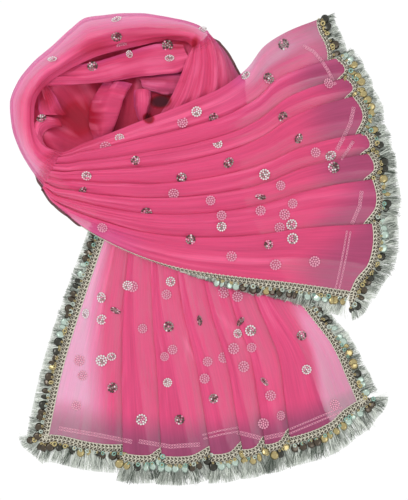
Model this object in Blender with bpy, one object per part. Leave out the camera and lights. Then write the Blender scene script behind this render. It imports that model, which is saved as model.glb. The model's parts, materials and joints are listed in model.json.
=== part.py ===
"""A net dupatta stole laid out on a flat surface, with a loop at the top left.

The cloth is one long rectangle with lace all round it. From its first hem, at the bottom, it runs up as
the lower panel, climbs as the rising stretch to a gathered neck, turns left round the loop, and comes back
to the right as the upper panel, which fans out over the lower one to the second hem. +Z is up, +Y is the
top of the layout, and the origin is on the surface in the middle of the footprint.
"""

from collections import namedtuple

import bpy
import numpy as np
from mathutils.bvhtree import BVHTree

# Driving dimensions, in metres.
NET_WALL = 0.0011
LACE_WALL = 0.0014
LAYER_PITCH = 0.0025
LAYER_GAP = 0.0006
SEAM_GAP = 0.0007
TOUCH_GAP = 0.0004
FLOOR_GAP = 0.0006
PROBE_STEP = 0.002
LACE_WIDTH = 0.015
LOCK_PITCH = 0.012
LOCK_WIDTH_SHARE = 0.6
LOCK_TIP_SHARE = 0.55
HEM_JOG = 0.009
TIP_HEIGHT_SHARE = 0.3
TUCK_SHARE = 0.22
STEEPEST = 0.45

# Fringe lengths at the two ends of each lace. They differ because the lace tilts and curls.
LOWER_SIDE_FRINGE = (0.024, 0.032)
LOWER_HEM_FRINGE = (0.038, 0.042)
UPPER_SIDE_FRINGE = (0.014, 0.034)
UPPER_HEM_FRINGE = (0.011, 0.032)

# How far the lace and its fringe reach at a corner of the cloth: aside is along the hem, onward is past it.
Corner = namedtuple("Corner", "width aside onward")
LOWER_LEFT_CORNER = Corner(0.015, 0.048, 0.014)
LOWER_RIGHT_CORNER = Corner(0.015, 0.036, 0.012)
UPPER_PLAIN_CORNER = Corner(0.0014, 0.0014, 0.011)
UPPER_RIGHT_CORNER = Corner(0.015, 0.030, 0.022)

# The sections are read off a photograph that was taken from this height over this place, so a point that
# stands high is really nearer to the middle than it looks.
VIEW_HEIGHT = 1.6
VIEW_X = 0.0027
VIEW_Y = -0.0018

# The middle of the finished footprint in the frame of the sections. It becomes the origin.
CENTRE_X = 0.0042
CENTRE_Y = -0.0040

# The map of heights on which each new layer is laid.
MAP_CELL = 0.003
MAP_HALF_X = 0.36
MAP_HALF_Y = 0.44
BASE_COLUMNS = 29
CURVE_SAMPLES = 61

PINK = (0.86, 0.10, 0.27, 1.0)
DEEP_PINK = (0.72, 0.05, 0.18, 1.0)
ZARI = (0.55, 0.50, 0.36, 1.0)

# A section crosses a stretch of cloth from its start edge by its middle to its end edge. roll is 1 where the
# end edge rolls down to the surface and 0 where it lies open. wave is the height of the soft folds. Pressed
# pleats don't use it: their layers give them their height.
Section = namedtuple("Section", "start_x start_y mid_x mid_y end_x end_y start_z mid_z end_z roll wave")

LOWER_PANEL = [
    Section(-0.095, 0.178, -0.012, 0.182, 0.068, 0.189, 0.030, 0.034, 0.020, 0, 0.007),
    Section(-0.134, 0.115, -0.032, 0.112, 0.068, 0.119, 0.012, 0.022, 0.008, 0, 0.007),
    Section(-0.166, 0.043, -0.035, 0.036, 0.096, 0.045, 0.002, 0.008, 0.002, 0, 0.007),
    Section(-0.190, -0.023, -0.026, -0.035, 0.132, -0.023, 0.001, 0.004, 0.001, 0, 0.007),
    Section(-0.215, -0.097, -0.016, -0.118, 0.177, -0.097, 0.001, 0.003, 0.001, 0, 0.006),
    Section(-0.240, -0.176, -0.004, -0.201, 0.231, -0.169, 0.001, 0.002, 0.001, 0, 0.006),
    Section(-0.257, -0.241, 0.002, -0.272, 0.257, -0.225, 0.001, 0.001, 0.001, 0, 0.006),
    Section(-0.275, -0.328, 0.004, -0.362, 0.280, -0.279, 0.001, 0.001, 0.001, 0, 0.006),
]
LOWER_WIDTHS = [0.135, 0.068, 0.086, 0.056, 0.040, 0.045, 0.131]
LOWER_COVERS = [0.040, 0.046, 0.028, 0.018, 0.022, 0.070]

RISING = [
    Section(-0.100, 0.205, -0.004, 0.205, 0.085, 0.247, 0.036, 0.040, 0.016, 0.2, 0.004),
    Section(-0.078, 0.239, 0.004, 0.254, 0.078, 0.292, 0.038, 0.044, 0.009, 0.8, 0.005),
    Section(-0.053, 0.277, 0.010, 0.290, 0.061, 0.323, 0.040, 0.048, 0.009, 0.9, 0.006),
    Section(-0.034, 0.319, 0.008, 0.329, 0.043, 0.351, 0.042, 0.052, 0.009, 1, 0.006),
    Section(-0.024, 0.347, 0.002, 0.360, 0.024, 0.374, 0.044, 0.053, 0.009, 1, 0.005),
    Section(-0.018, 0.364, -0.002, 0.375, 0.011, 0.388, 0.044, 0.052, 0.009, 1, 0.003),
]
RISING_FOLDS = 6

LOOP_AND_UPPER = [
    Section(-0.020, 0.367, -0.004, 0.379, 0.010, 0.391, 0.046, 0.056, 0.005, 1, 0.001),
    Section(-0.038, 0.377, -0.029, 0.394, -0.020, 0.407, 0.036, 0.056, 0.004, 1, 0.002),
    Section(-0.080, 0.374, -0.078, 0.400, -0.077, 0.419, 0.030, 0.056, 0.004, 1, 0.0025),
    Section(-0.117, 0.366, -0.120, 0.400, -0.121, 0.424, 0.026, 0.056, 0.004, 1, 0.0025),
    Section(-0.161, 0.356, -0.167, 0.396, -0.172, 0.420, 0.024, 0.056, 0.004, 1, 0.0025),
    Section(-0.197, 0.342, -0.207, 0.385, -0.216, 0.412, 0.026, 0.056, 0.004, 1, 0.0025),
    Section(-0.232, 0.322, -0.247, 0.353, -0.260, 0.371, 0.026, 0.056, 0.004, 1, 0.002),
    Section(-0.276, 0.293, -0.296, 0.313, -0.311, 0.326, 0.028, 0.056, 0.004, 1, 0.002),
    Section(-0.299, 0.261, -0.323, 0.269, -0.343, 0.274, 0.028, 0.056, 0.004, 1, 0.002),
    Section(-0.303, 0.228, -0.323, 0.222, -0.341, 0.218, 0.032, 0.056, 0.004, 1, 0.002),
    Section(-0.291, 0.188, -0.307, 0.175, -0.320, 0.164, 0.042, 0.056, 0.004, 1, 0.002),
    Section(-0.254, 0.172, -0.271, 0.141, -0.285, 0.115, 0.048, 0.054, 0.004, 1, 0.003),
    Section(-0.222, 0.186, -0.234, 0.124, -0.252, 0.068, 0.044, 0.052, 0.012, 0.5, 0.005),
    Section(-0.183, 0.201, -0.187, 0.110, -0.206, 0.032, 0.040, 0.050, 0.018, 0.1, 0.006),
    Section(-0.107, 0.230, -0.095, 0.113, -0.113, -0.012, 0.036, 0.044, 0.020, 0, 0.008),
    Section(-0.022, 0.261, 0.001, 0.119, -0.032, -0.036, 0.030, 0.034, 0.020, 0, 0.008),
    Section(0.062, 0.304, 0.095, 0.124, 0.058, -0.050, 0.024, 0.026, 0.018, 0, 0.008),
    Section(0.119, 0.372, 0.194, 0.146, 0.158, -0.061, 0.010, 0.014, 0.016, 0, 0.008),
    Section(0.199, 0.409, 0.296, 0.155, 0.271, -0.077, 0.002, 0.002, 0.004, 0, 0.008),
]
SPLIT = 11
LOOP_FOLDS = 5
UPPER_WIDTHS = [0.076, 0.036, 0.034, 0.065, 0.036, 0.044, 0.076, 0.119]
UPPER_COVERS = [0.020, 0.018, 0.036, 0.020, 0.024, 0.042, 0.066]

INNER_BAND = [
    Section(-0.280, 0.322, -0.292, 0.305, -0.301, 0.286, 0.040, 0.044, 0.028, 0.6, 0.002),
    Section(-0.235, 0.329, -0.244, 0.312, -0.250, 0.293, 0.036, 0.044, 0.026, 0.8, 0.003),
    Section(-0.199, 0.333, -0.192, 0.317, -0.185, 0.299, 0.034, 0.044, 0.024, 0.8, 0.003),
    Section(-0.156, 0.345, -0.147, 0.326, -0.138, 0.306, 0.030, 0.044, 0.026, 0.8, 0.003),
    Section(-0.113, 0.358, -0.102, 0.335, -0.091, 0.310, 0.028, 0.042, 0.028, 0.8, 0.003),
    Section(-0.077, 0.365, -0.062, 0.340, -0.044, 0.312, 0.028, 0.042, 0.030, 0.8, 0.003),
    Section(-0.035, 0.364, -0.026, 0.346, -0.014, 0.326, 0.030, 0.040, 0.032, 0.6, 0.002),
]
INNER_CRESCENT = [
    Section(-0.176, 0.302, -0.150, 0.303, -0.123, 0.297, 0.022, 0.028, 0.024, 0.6, 0.002),
    Section(-0.192, 0.275, -0.165, 0.277, -0.137, 0.272, 0.016, 0.036, 0.022, 0.8, 0.003),
    Section(-0.202, 0.247, -0.173, 0.247, -0.145, 0.247, 0.012, 0.038, 0.020, 0.8, 0.003),
    Section(-0.198, 0.213, -0.176, 0.212, -0.158, 0.216, 0.014, 0.032, 0.020, 0.8, 0.003),
    Section(-0.190, 0.190, -0.178, 0.190, -0.168, 0.194, 0.018, 0.024, 0.020, 0.6, 0.002),
]
INNER_PETAL = [
    Section(-0.122, 0.286, -0.106, 0.289, -0.092, 0.283, 0.020, 0.028, 0.022, 0.4, 0.001),
    Section(-0.124, 0.264, -0.107, 0.266, -0.092, 0.262, 0.016, 0.034, 0.018, 0.6, 0.002),
    Section(-0.117, 0.243, -0.107, 0.244, -0.097, 0.245, 0.016, 0.030, 0.018, 0.6, 0.002),
    Section(-0.111, 0.228, -0.106, 0.229, -0.102, 0.231, 0.016, 0.022, 0.018, 0.4, 0.001),
]
INNER_BRIDGE = [
    Section(-0.114, 0.308, -0.110, 0.300, -0.108, 0.291, 0.026, 0.030, 0.022, 0.3, 0.001),
    Section(-0.082, 0.311, -0.078, 0.296, -0.077, 0.279, 0.026, 0.034, 0.018, 0.6, 0.002),
    Section(-0.046, 0.315, -0.042, 0.298, -0.048, 0.276, 0.028, 0.036, 0.020, 0.6, 0.002),
    Section(-0.030, 0.312, -0.026, 0.297, -0.036, 0.278, 0.030, 0.038, 0.026, 0.4, 0.001),
]
INNER_ROLL = [
    Section(-0.250, 0.218, -0.254, 0.226, -0.259, 0.234, 0.016, 0.026, 0.020, 0.4, 0.001),
    Section(-0.276, 0.214, -0.284, 0.226, -0.289, 0.236, 0.018, 0.034, 0.026, 0.4, 0.001),
    Section(-0.288, 0.200, -0.297, 0.205, -0.304, 0.211, 0.020, 0.040, 0.036, 0.3, 0.001),
    Section(-0.281, 0.184, -0.292, 0.180, -0.302, 0.174, 0.022, 0.044, 0.042, 0.2, 0.001),
    Section(-0.255, 0.173, -0.268, 0.162, -0.278, 0.150, 0.024, 0.044, 0.042, 0.2, 0.001),
    Section(-0.212, 0.172, -0.220, 0.158, -0.226, 0.144, 0.024, 0.044, 0.040, 0.2, 0.001),
]
LEFT_FLAP = [
    Section(-0.276, 0.291, -0.286, 0.292, -0.295, 0.291, 0.026, 0.032, 0.030, 0.3, 0.001),
    Section(-0.262, 0.271, -0.280, 0.270, -0.296, 0.268, 0.016, 0.032, 0.026, 0.5, 0.002),
    Section(-0.252, 0.250, -0.274, 0.248, -0.294, 0.247, 0.014, 0.032, 0.024, 0.5, 0.002),
    Section(-0.244, 0.240, -0.268, 0.240, -0.289, 0.239, 0.014, 0.028, 0.022, 0.4, 0.001),
]

# The core stands for the hidden layers. Its outline is one row for each place, and its height is the
# largest of the ridges that it has along the cloth's route.
Place = namedtuple("Place", "x y")
CORE_MIDDLE = Place(-0.130, 0.235)
CORE_OUTLINE = [
    Place(0.022, 0.345), Place(-0.008, 0.380), Place(-0.060, 0.396), Place(-0.125, 0.398),
    Place(-0.190, 0.382), Place(-0.238, 0.345), Place(-0.290, 0.300), Place(-0.316, 0.262),
    Place(-0.314, 0.215), Place(-0.290, 0.168), Place(-0.250, 0.120), Place(-0.190, 0.080),
    Place(-0.120, 0.050), Place(-0.030, 0.040), Place(0.050, 0.060), Place(0.085, 0.110),
    Place(0.075, 0.180), Place(0.070, 0.240), Place(0.055, 0.290),
]
Ridge = namedtuple("Ridge", "from_x from_y to_x to_y from_z to_z half_width")
CORE_RIDGES = [
    Ridge(-0.020, 0.362, -0.120, 0.390, 0.036, 0.040, 0.032),
    Ridge(-0.120, 0.390, -0.210, 0.362, 0.040, 0.040, 0.036),
    Ridge(-0.210, 0.352, -0.290, 0.275, 0.040, 0.040, 0.045),
    Ridge(-0.290, 0.275, -0.294, 0.210, 0.040, 0.040, 0.045),
    Ridge(-0.294, 0.210, -0.240, 0.145, 0.040, 0.036, 0.045),
    Ridge(-0.240, 0.145, -0.060, 0.120, 0.034, 0.022, 0.080),
    Ridge(-0.060, 0.120, 0.080, 0.120, 0.022, 0.006, 0.080),
    Ridge(0.000, 0.340, 0.010, 0.220, 0.036, 0.022, 0.070),
    Ridge(-0.230, 0.250, -0.060, 0.270, 0.011, 0.015, 0.110),
]
CORE_SPOKES = 36
CORE_RINGS = 9
CORE_EDGE = 0.004


def spline(rows, at):
    """The rows of an array read at fractional places, along a smooth curve through them."""
    rows, at = np.asarray(rows, float), np.asarray(at, float)
    ends = [2 * rows[:1] - rows[1:2], rows, 2 * rows[-1:] - rows[-2:-1]]
    padded = np.concatenate(ends)
    whole = np.clip(np.floor(at).astype(int), 0, len(rows) - 2)
    f = (at - whole).reshape((-1,) + (1,) * (rows.ndim - 1))
    a, b, c, d = (padded[whole + i] for i in range(4))
    return 0.5 * (
        2 * b + (c - a) * f + (2 * a - 5 * b + 4 * c - d) * f**2 + (3 * b - a - 3 * c + d) * f**3
    )


def mix(a, b, share):
    return a + (b - a) * share


def unit(vectors):
    return vectors / np.maximum(np.linalg.norm(vectors, axis=-1, keepdims=True), 1e-9)


class Heights:
    """The top of all that is laid so far, on a square grid over the surface, and its solids."""

    def __init__(self):
        shape = (int(2 * MAP_HALF_X / MAP_CELL), int(2 * MAP_HALF_Y / MAP_CELL))
        self.top = np.zeros(shape)
        self.points, self.faces = np.zeros((0, 3)), []

    def add_solid(self, points, faces):
        first = len(self.points)
        self.points = np.concatenate([self.points, points])
        self.faces += [[first + corner for corner in face] for face in faces]

    def room_under(self, points, faces):
        """How far a solid can be let down before it touches the others."""
        new = BVHTree.FromPolygons(points.tolist(), faces)
        old = BVHTree.FromPolygons(self.points.tolist(), self.faces)
        low, high = points.min(axis=0), points.max(axis=0)
        room = high[2]
        across = np.arange(low[0], high[0], PROBE_STEP)
        along = np.arange(low[1], high[1], PROBE_STEP)
        between = np.stack(np.meshgrid(across, along), axis=-1).reshape(-1, 2)
        near = ((self.points > low - 0.01) & (self.points < high + 0.01))[:, :2].all(axis=1)
        for x, y in np.concatenate([between, points[:, :2], self.points[near, :2]]):
            under = new.ray_cast((x, y, -1), (0, 0, 1))[0]
            top = old.ray_cast((x, y, 1), (0, 0, -1))[0] if under else None
            if top:
                room = min(room, under.z - top.z - TOUCH_GAP)
        return room

    def cells(self, points):
        i = np.clip(((points[..., 0] + MAP_HALF_X) / MAP_CELL).astype(int), 0, self.top.shape[0] - 1)
        j = np.clip(((points[..., 1] + MAP_HALF_Y) / MAP_CELL).astype(int), 0, self.top.shape[1] - 1)
        return i, j

    def add(self, grid, thickness):
        points = refined(grid, 0.002)
        np.maximum.at(self.top, self.cells(points), points[..., 2] + thickness / 2)

    def widened(self):
        """The heights widened by a cell and smoothed, so that they are nowhere lower."""
        wide = np.pad(self.top, 2, mode="edge")
        size_x, size_y = self.top.shape
        for reduce in (np.max, np.mean):
            stacked = [np.roll(wide, (i, j), (0, 1)) for i in (-1, 0, 1) for j in (-1, 0, 1)]
            wide = reduce(stacked, axis=0)
        return wide[2 : 2 + size_x, 2 : 2 + size_y]


def refined(grid, spacing):
    """The grid with more rows and columns between, on straight lines, until they are this near."""
    for axis in (0, 1):
        steps = np.linalg.norm(np.diff(grid, axis=axis), axis=-1)
        times = int(np.ceil(steps.max() / spacing))
        count = grid.shape[axis]
        at = np.linspace(0, count - 1, (count - 1) * times + 1)
        low = np.clip(at.astype(int), 0, count - 2)
        share = (at - low).reshape((-1, 1, 1) if axis == 0 else (1, -1, 1))
        grid = mix(np.take(grid, low, axis), np.take(grid, low + 1, axis), share)
    return grid


def section_curve(section):
    """Evenly spaced points along one section, from its start edge to its end edge."""
    s = Section(*section)
    start = np.array([s.start_x, s.start_y, s.start_z])
    mid = np.array([s.mid_x, s.mid_y, s.mid_z])
    end = np.array([s.end_x, s.end_y, s.end_z])

    def bowed(share):
        curve = (1 - share) * (1 - 2 * share) * start + 4 * share * (1 - share) * mid
        return curve + share * (2 * share - 1) * end

    def rolled(toward_end, height_share):
        point = mix(mid, end, toward_end)
        point[2] = mix(s.end_z, s.mid_z, height_share)
        return point

    shoulder_in = mix(start, mid, 0.5)
    shoulder_in[2] = mix(s.start_z, s.mid_z, 0.8)
    open_shape = np.array([bowed(x) for x in (0, 0.25, 0.5, 0.7, 0.87, 1)])
    round_shape = np.array(
        [start, shoulder_in, mid, rolled(0.62, 0.86), rolled(1, 0.42), rolled(1 - TUCK_SHARE, 0)]
    )
    control = mix(open_shape, round_shape, np.clip(s.roll, 0, 1))
    curve = spline(control, np.linspace(0, len(control) - 1, CURVE_SAMPLES))
    walked = np.concatenate([[0], np.cumsum(np.linalg.norm(np.diff(curve, axis=0), axis=1))])
    even = np.linspace(0, walked[-1], BASE_COLUMNS)
    curve = np.stack([np.interp(even, walked, curve[:, i]) for i in range(3)], axis=1)
    under_view = np.array([VIEW_X, VIEW_Y])
    curve[:, :2] = mix(curve[:, :2], under_view, curve[:, 2:] / VIEW_HEIGHT)
    return curve


def laid(base, heights, clear):
    """The grid lifted wherever a straight face between its points would touch what lies below."""
    rest, between = heights.widened(), 4
    base = base.copy()
    rows, columns = base.shape[:2]
    for _ in range(3):
        at_rows = np.linspace(0, rows - 1, (rows - 1) * between + 1)
        low = np.clip(at_rows.astype(int), 0, rows - 2)
        dense = mix(base[low], base[low + 1], (at_rows - low)[:, None, None])
        lack = np.maximum(rest[heights.cells(dense)] + clear - dense[..., 2], 0)
        lift = np.zeros((rows, columns))
        for row in range(rows):
            near = lack[max(0, (row - 1) * between + 1) : (row + 1) * between].max(axis=0)
            sides = [near, np.roll(near, 1), np.roll(near, -1)]
            sides[1][0], sides[2][-1] = near[0], near[-1]
            lift[row] = np.max(sides, axis=0)
        base[..., 2] += eased(lift, base)
    return base


def eased(lift, base):
    """The lift carried to the points beside it, so that it never falls off too steeply."""
    for axis in (0, 1):
        drop = STEEPEST * np.linalg.norm(np.diff(base, axis=axis), axis=-1)
        lift, drop = np.moveaxis(lift, axis, 0).copy(), np.moveaxis(drop, axis, 0)
        count = len(lift)
        for i in range(1, count):
            lift[i] = np.maximum(lift[i], lift[i - 1] - drop[i - 1])
        for i in range(count - 2, -1, -1):
            lift[i] = np.maximum(lift[i], lift[i + 1] - drop[i])
        lift = np.moveaxis(lift, 0, axis)
    return lift


# A soft fold has one point for each share of its width, at a share of the wave's height. The last fold of a
# stretch runs out to its end edge.
SOFT_FOLD = [(0, 1), (0.38, 0.3), (0.58, 0), (0.8, 0.45)]
SOFT_END = [(0, 1), (0.3, 0.6), (0.65, 0.15), (1, 0.1)]
# How far each point of a pressed pleat reaches past the middle of the hem, as a share of the jog.
PLEAT_REACH = [1, 0.6, -0.6, -1.1, -1.1, -1.1, 1, 1]
LAST_REACH = [1, 0.6, -0.3, -0.6]
PLEAT_POINTS = len(PLEAT_REACH)


def soft_folds(count, length, wave):
    """Distance from the start edge, height and reach of each point across a stretch with soft folds."""
    width = length / count
    found = [((fold + x) * width, high * wave, 0) for fold in range(count - 1) for x, high in SOFT_FOLD]
    return np.array(found + [((count - 1 + x) * width, high * wave, 0) for x, high in SOFT_END])


def pressed_pleats(widths, covers):
    """The same for knife pleats. Each goes under the next one by its cover, and comes back above itself."""
    p, found, edge, before = LAYER_PITCH, [], 0.0, 0.0
    for number, width in enumerate(widths):
        top = 1 if number == 0 else 2
        if number == len(widths) - 1:
            points = [(0, top), (before + p, top), (0.8 * width, 0.4), (width, 0)]
            reach = LAST_REACH
        else:
            under = width + covers[number]
            points = [(0, top), (before + p, top), (width - p, 0), (under, 0)]
            points += [(under + p / 2, 0.5), (under, 1), (width, 1), (width - p / 2, 1.5)]
            reach, before = PLEAT_REACH, covers[number]
        found += [(edge + away, layer * p, out) for (away, layer), out in zip(points, reach)]
        edge += width
    return np.array(found)


def past_hem(base, fringe):
    """The base rows with three more, for the inner and outer edges of the lace and the tips of the fringe."""
    travel = unit((base[-1] - base[-2]) * (1, 1, 0))
    inner = base[-1] + travel * SEAM_GAP
    outer = inner + travel * LACE_WIDTH
    tips = outer + travel * np.linspace(*fringe, len(outer))[:, None]
    tips[:, 2] = LACE_WALL
    return np.concatenate([base, [inner, outer, tips]])


def frames(base):
    """At each point of the base, the way the cloth travels and the way its folds stand."""
    along = unit(np.gradient(base, axis=0) * (1, 1, 0))
    up = unit(np.cross(np.gradient(base, axis=1), along))
    return along, up * np.sign(up[..., 2].mean())


def placed(points, line, along, up, jog):
    """The points of one row's folds, set on the base line that they lie along."""
    length = np.linalg.norm(np.diff(line, axis=0), axis=1).sum()
    place = np.clip(points[:, 0] / length, 0, 1) * (BASE_COLUMNS - 1)
    low = np.clip(place.astype(int), 0, BASE_COLUMNS - 2)
    share = (place - low)[:, None]
    at, travel, normal = (mix(v[low], v[low + 1], share) for v in (line, along, up))
    return at + unit(normal) * points[:, 1:2] + unit(travel) * points[:, 2:3] * jog


def lengths(base):
    return np.linalg.norm(np.diff(base, axis=1), axis=-1).sum(axis=1)


def soft_stretch(sections, at, folds, heights):
    """The points of a stretch with soft folds: a row for each place along it, a column for each fold point."""
    facts = [Section(*row) for row in spline([tuple(s) for s in sections], at)]
    base = laid(np.array([section_curve(row) for row in facts]), heights, LAYER_GAP + NET_WALL / 2)
    along, up = frames(base)
    grid = []
    for number, (s, length) in enumerate(zip(facts, lengths(base))):
        points = soft_folds(folds, length, s.wave)
        points[:, 1] *= smooth_side(points[:, 0] / length, s.roll)
        grid.append(placed(points, base[number], along[number], up[number], 0))
    return np.array(grid)


def pleated_end(sections, at, widths, covers, fringe, heights):
    """The points of an end of the stole, down to its hem, and then those of its lace and fringe."""
    facts = [Section(*row) for row in spline([tuple(s) for s in sections], at)]
    base = past_hem(np.array([section_curve(row) for row in facts]), fringe)
    base = laid(base, heights, LAYER_GAP + LACE_WALL / 2)
    along, up = frames(base)
    at_start, at_hem = np.full(len(widths), 1 / len(widths)), np.array(widths) / sum(widths)
    grid = []
    for number, length in enumerate(lengths(base)):
        opened = min(number / (len(facts) - 1), 1)
        hidden = np.array(covers) / sum(widths) * length * mix(0.1, 1, opened)
        points = pressed_pleats(mix(at_start, at_hem, opened) * length, hidden)
        if number == len(base) - 1:
            points[:, 1] *= TIP_HEIGHT_SHARE
        jog = HEM_JOG * opened**6
        grid.append(placed(points, base[number], along[number], up[number], jog))
    return np.array(grid[: len(facts)]), np.array(grid[len(facts) :])


def smooth_side(share, roll):
    """How much of the folds' height is left towards a rolled end edge, where the cloth is pulled smooth."""
    near_end = np.clip((share - 0.55) / 0.3, 0, 1)
    return 1 - 0.85 * roll * near_end


def faces_of_grid(grid, first, turned):
    """Triangles over a grid, each cell cut along its shorter diagonal, so that layers are cut alike."""
    rows, columns = grid.shape[:2]
    found = []
    for i in range(rows - 1):
        for j in range(columns - 1):
            a = first + i * columns + j
            b = a + columns
            one = np.linalg.norm(grid[i, j] - grid[i + 1, j + 1])
            other = np.linalg.norm(grid[i, j + 1] - grid[i + 1, j])
            pair = ([a, a + 1, b + 1], [a, b + 1, b]) if one < other else ([a, a + 1, b], [a + 1, b + 1, b])
            found += [face[::-1] if turned else face for face in pair]
    return found


def grid_normals(grid):
    normals = unit(np.cross(np.gradient(grid, axis=0), np.gradient(grid, axis=1)))
    return normals * np.sign(normals[..., 2].mean())


def material(name, colour, roughness, metallic):
    made = bpy.data.materials.get(name) or bpy.data.materials.new(name)
    made.use_nodes = True
    shader = made.node_tree.nodes["Principled BSDF"]
    shader.inputs["Base Color"].default_value = colour
    shader.inputs["Roughness"].default_value = roughness
    shader.inputs["Metallic"].default_value = metallic
    return made


def solid(name, points, faces, finish):
    """A closed mesh object about the origin. Its faces are turned so that they point out."""
    points = np.asarray(points, float) - (CENTRE_X, CENTRE_Y, 0)
    mesh = bpy.data.meshes.new(name)
    mesh.from_pydata(points.tolist(), [], faces)
    volume = 0.0
    for face in faces:
        for i in range(1, len(face) - 1):
            volume += np.dot(points[face[0]], np.cross(points[face[i]], points[face[i + 1]]))
    if volume < 0:
        mesh.flip_normals()
    mesh.materials.append(finish)
    mesh.shade_smooth()
    made = bpy.data.objects.new(name, mesh)
    bpy.context.scene.collection.objects.link(made)
    return made


def wall_shape(grid, normals, thickness):
    """The points and faces of a wall of this thickness along a grid of points down its middle."""
    rows, columns = grid.shape[:2]
    lift = normals * thickness / 2
    points = np.concatenate([(grid + lift).reshape(-1, 3), (grid - lift).reshape(-1, 3)])
    count = rows * columns
    faces = faces_of_grid(grid, 0, False) + faces_of_grid(grid, count, True)
    rim = list(range(columns))
    rim += [i * columns + columns - 1 for i in range(1, rows)]
    rim += [(rows - 1) * columns + j for j in range(columns - 2, -1, -1)]
    rim += [i * columns for i in range(rows - 2, 0, -1)]
    for here, after in zip(rim, rim[1:] + rim[:1]):
        faces.append([after, here, here + count, after + count])
    return points, faces


def lay(grids, heights, finish, more=()):
    """Walls of net along the named grids, let down together until one touches. more comes down with them."""
    shapes = [wall_shape(grid, grid_normals(grid), NET_WALL) for grid in grids.values()]
    room = min(heights.room_under(points, faces) for points, faces in shapes)
    room = min([room] + [points[:, 2].min() - FLOOR_GAP for points, _ in shapes])
    for other in more:
        other[..., 2] = np.maximum(other[..., 2] - room, FLOOR_GAP + LACE_WALL / 2)
    for (name, grid), (points, faces) in zip(grids.items(), shapes):
        points[:, 2] -= room
        grid[..., 2] -= room
        heights.add(grid, NET_WALL)
        heights.add_solid(points, faces)
        solid(name, points, faces, finish)


def ridge_height(x, y):
    """The core's height at a place, from the ridges along the cloth's route."""
    best = 0.0
    for r in CORE_RIDGES:
        run = np.array([r.to_x - r.from_x, r.to_y - r.from_y])
        away = np.array([x - r.from_x, y - r.from_y])
        share = np.clip(away @ run / (run @ run), 0, 1)
        gap = np.linalg.norm(away - share * run) / r.half_width
        best = max(best, mix(r.from_z, r.to_z, share) * np.exp(-1.4 * gap**2))
    return best


def core_shape():
    """The rounded solid of the hidden layers, flat where it rests: its points and faces."""
    outline = np.array(CORE_OUTLINE + CORE_OUTLINE[:1])
    spokes = spline(outline, np.linspace(0, len(outline) - 1, CORE_SPOKES + 1)[:-1])
    middle = np.array(CORE_MIDDLE)
    points = [(*middle, ridge_height(*middle))]
    for ring in range(1, CORE_RINGS + 1):
        share = (ring / CORE_RINGS) ** 0.85
        rim = np.clip((1 - share) / 0.16, 0, 1) ** 0.5
        for x, y in mix(middle, spokes, share):
            points.append((x, y, mix(CORE_EDGE, max(CORE_EDGE, ridge_height(x, y)), rim)))
    foot = len(points)
    points += [(x, y, 0) for x, y in spokes]
    points.append((*middle, 0))
    faces, last = [], 1 + (CORE_RINGS - 1) * CORE_SPOKES
    for i in range(CORE_SPOKES):
        after = (i + 1) % CORE_SPOKES
        faces.append([0, 1 + i, 1 + after])
        for first in range(1, last, CORE_SPOKES):
            inner, outer = first, first + CORE_SPOKES
            faces += [[inner + i, outer + i, outer + after], [inner + i, outer + after, inner + after]]
        faces += [[last + i, foot + i, foot + after], [last + i, foot + after, last + after]]
        faces.append([foot + after, foot + i, len(points) - 1])
    return np.array(points, float), faces


def add_core_heights(points, heights):
    rings = points[1 : 1 + CORE_RINGS * CORE_SPOKES].reshape(CORE_RINGS, CORE_SPOKES, 3)
    closed = np.concatenate([rings, rings[:, :1]], axis=1)
    heights.add(np.concatenate([np.broadcast_to(points[0], closed[:1].shape), closed]), 0)


def lock_places(edge, tips, bare):
    """Places along an edge, and for each stretch between two whether a lock of fringe grows from it."""
    places, locks = [0.0], []
    for i in range(len(edge) - 1):
        length = np.linalg.norm(edge[i + 1] - edge[i]) + np.linalg.norm(tips[i + 1] - tips[i])
        count = 0 if i in bare else int(length / 2 / LOCK_PITCH + 0.4)
        for n in range(count):
            half = LOCK_WIDTH_SHARE / 2
            places += [i + (n + 0.5 - half) / count, i + (n + 0.5 + half) / count]
            locks += [False, True]
        places.append(float(i + 1))
        locks.append(False)
    return np.array(places), locks


def lace(name, inner, outer, tips, lift, bare, finish):
    """A strip of lace from an inner to an outer line, with locks of fringe from its outer rim to the tips.

    lift is the strip's normal at each point. bare holds the stretches of the line with no fringe.
    """
    places, locks = lock_places(outer, tips, bare)
    low = np.clip(places.astype(int), 0, len(inner) - 2)
    share = (places - low)[:, None]
    inner, outer, tips, lift = (mix(v[low], v[low + 1], share) for v in (inner, outer, tips, lift))
    lift = unit(lift) * LACE_WALL / 2
    rims = [inner + lift, outer + lift, outer - lift, inner - lift]
    count = len(places)
    points = np.concatenate(rims).tolist()
    faces = [[side * count for side in range(4)], [side * count + count - 1 for side in (3, 2, 1, 0)]]
    for i in range(count - 1):
        for side in range(4):
            a, b = side * count + i, (side + 1) % 4 * count + i
            if side == 2:
                faces += [[a, a + 1, b], [a + 1, b + 1, b]]
            elif side != 1 or not locks[i]:
                faces += [[a, a + 1, b + 1], [a, b + 1, b]]
    for i in np.flatnonzero(locks):
        middle = (tips[i] + tips[i + 1]) / 2
        half = (tips[i + 1] - tips[i]) / 2 * LOCK_TIP_SHARE
        rise = lift[i] / 2
        first = len(points)
        points += [middle - half + rise, middle + half + rise, middle + half - rise, middle - half - rise]
        root = [count + i, count + i + 1, 2 * count + i + 1, 2 * count + i]
        for k in range(4):
            after = (k + 1) % 4
            faces.append([root[k], root[after], first + after, first + k])
        faces.append([first, first + 1, first + 2, first + 3])
    return solid(name, points, faces, finish)


def corner(rows, end, inside, reach):
    """The lace's inner, outer and tip points where it turns a corner of the cloth, past one end of its rows."""
    inner, outer, tips = rows
    side = unit((outer[end] - outer[inside]) * (1, 1, 0))
    travel = unit((outer[end] - inner[end]) * (1, 1, 0))
    tip = outer[end] + side * (reach.width + reach.aside) + travel * reach.onward
    tip[2] = tips[end][2]
    return [inner[end] + side * reach.width, outer[end] + side * reach.width, tip]


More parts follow.
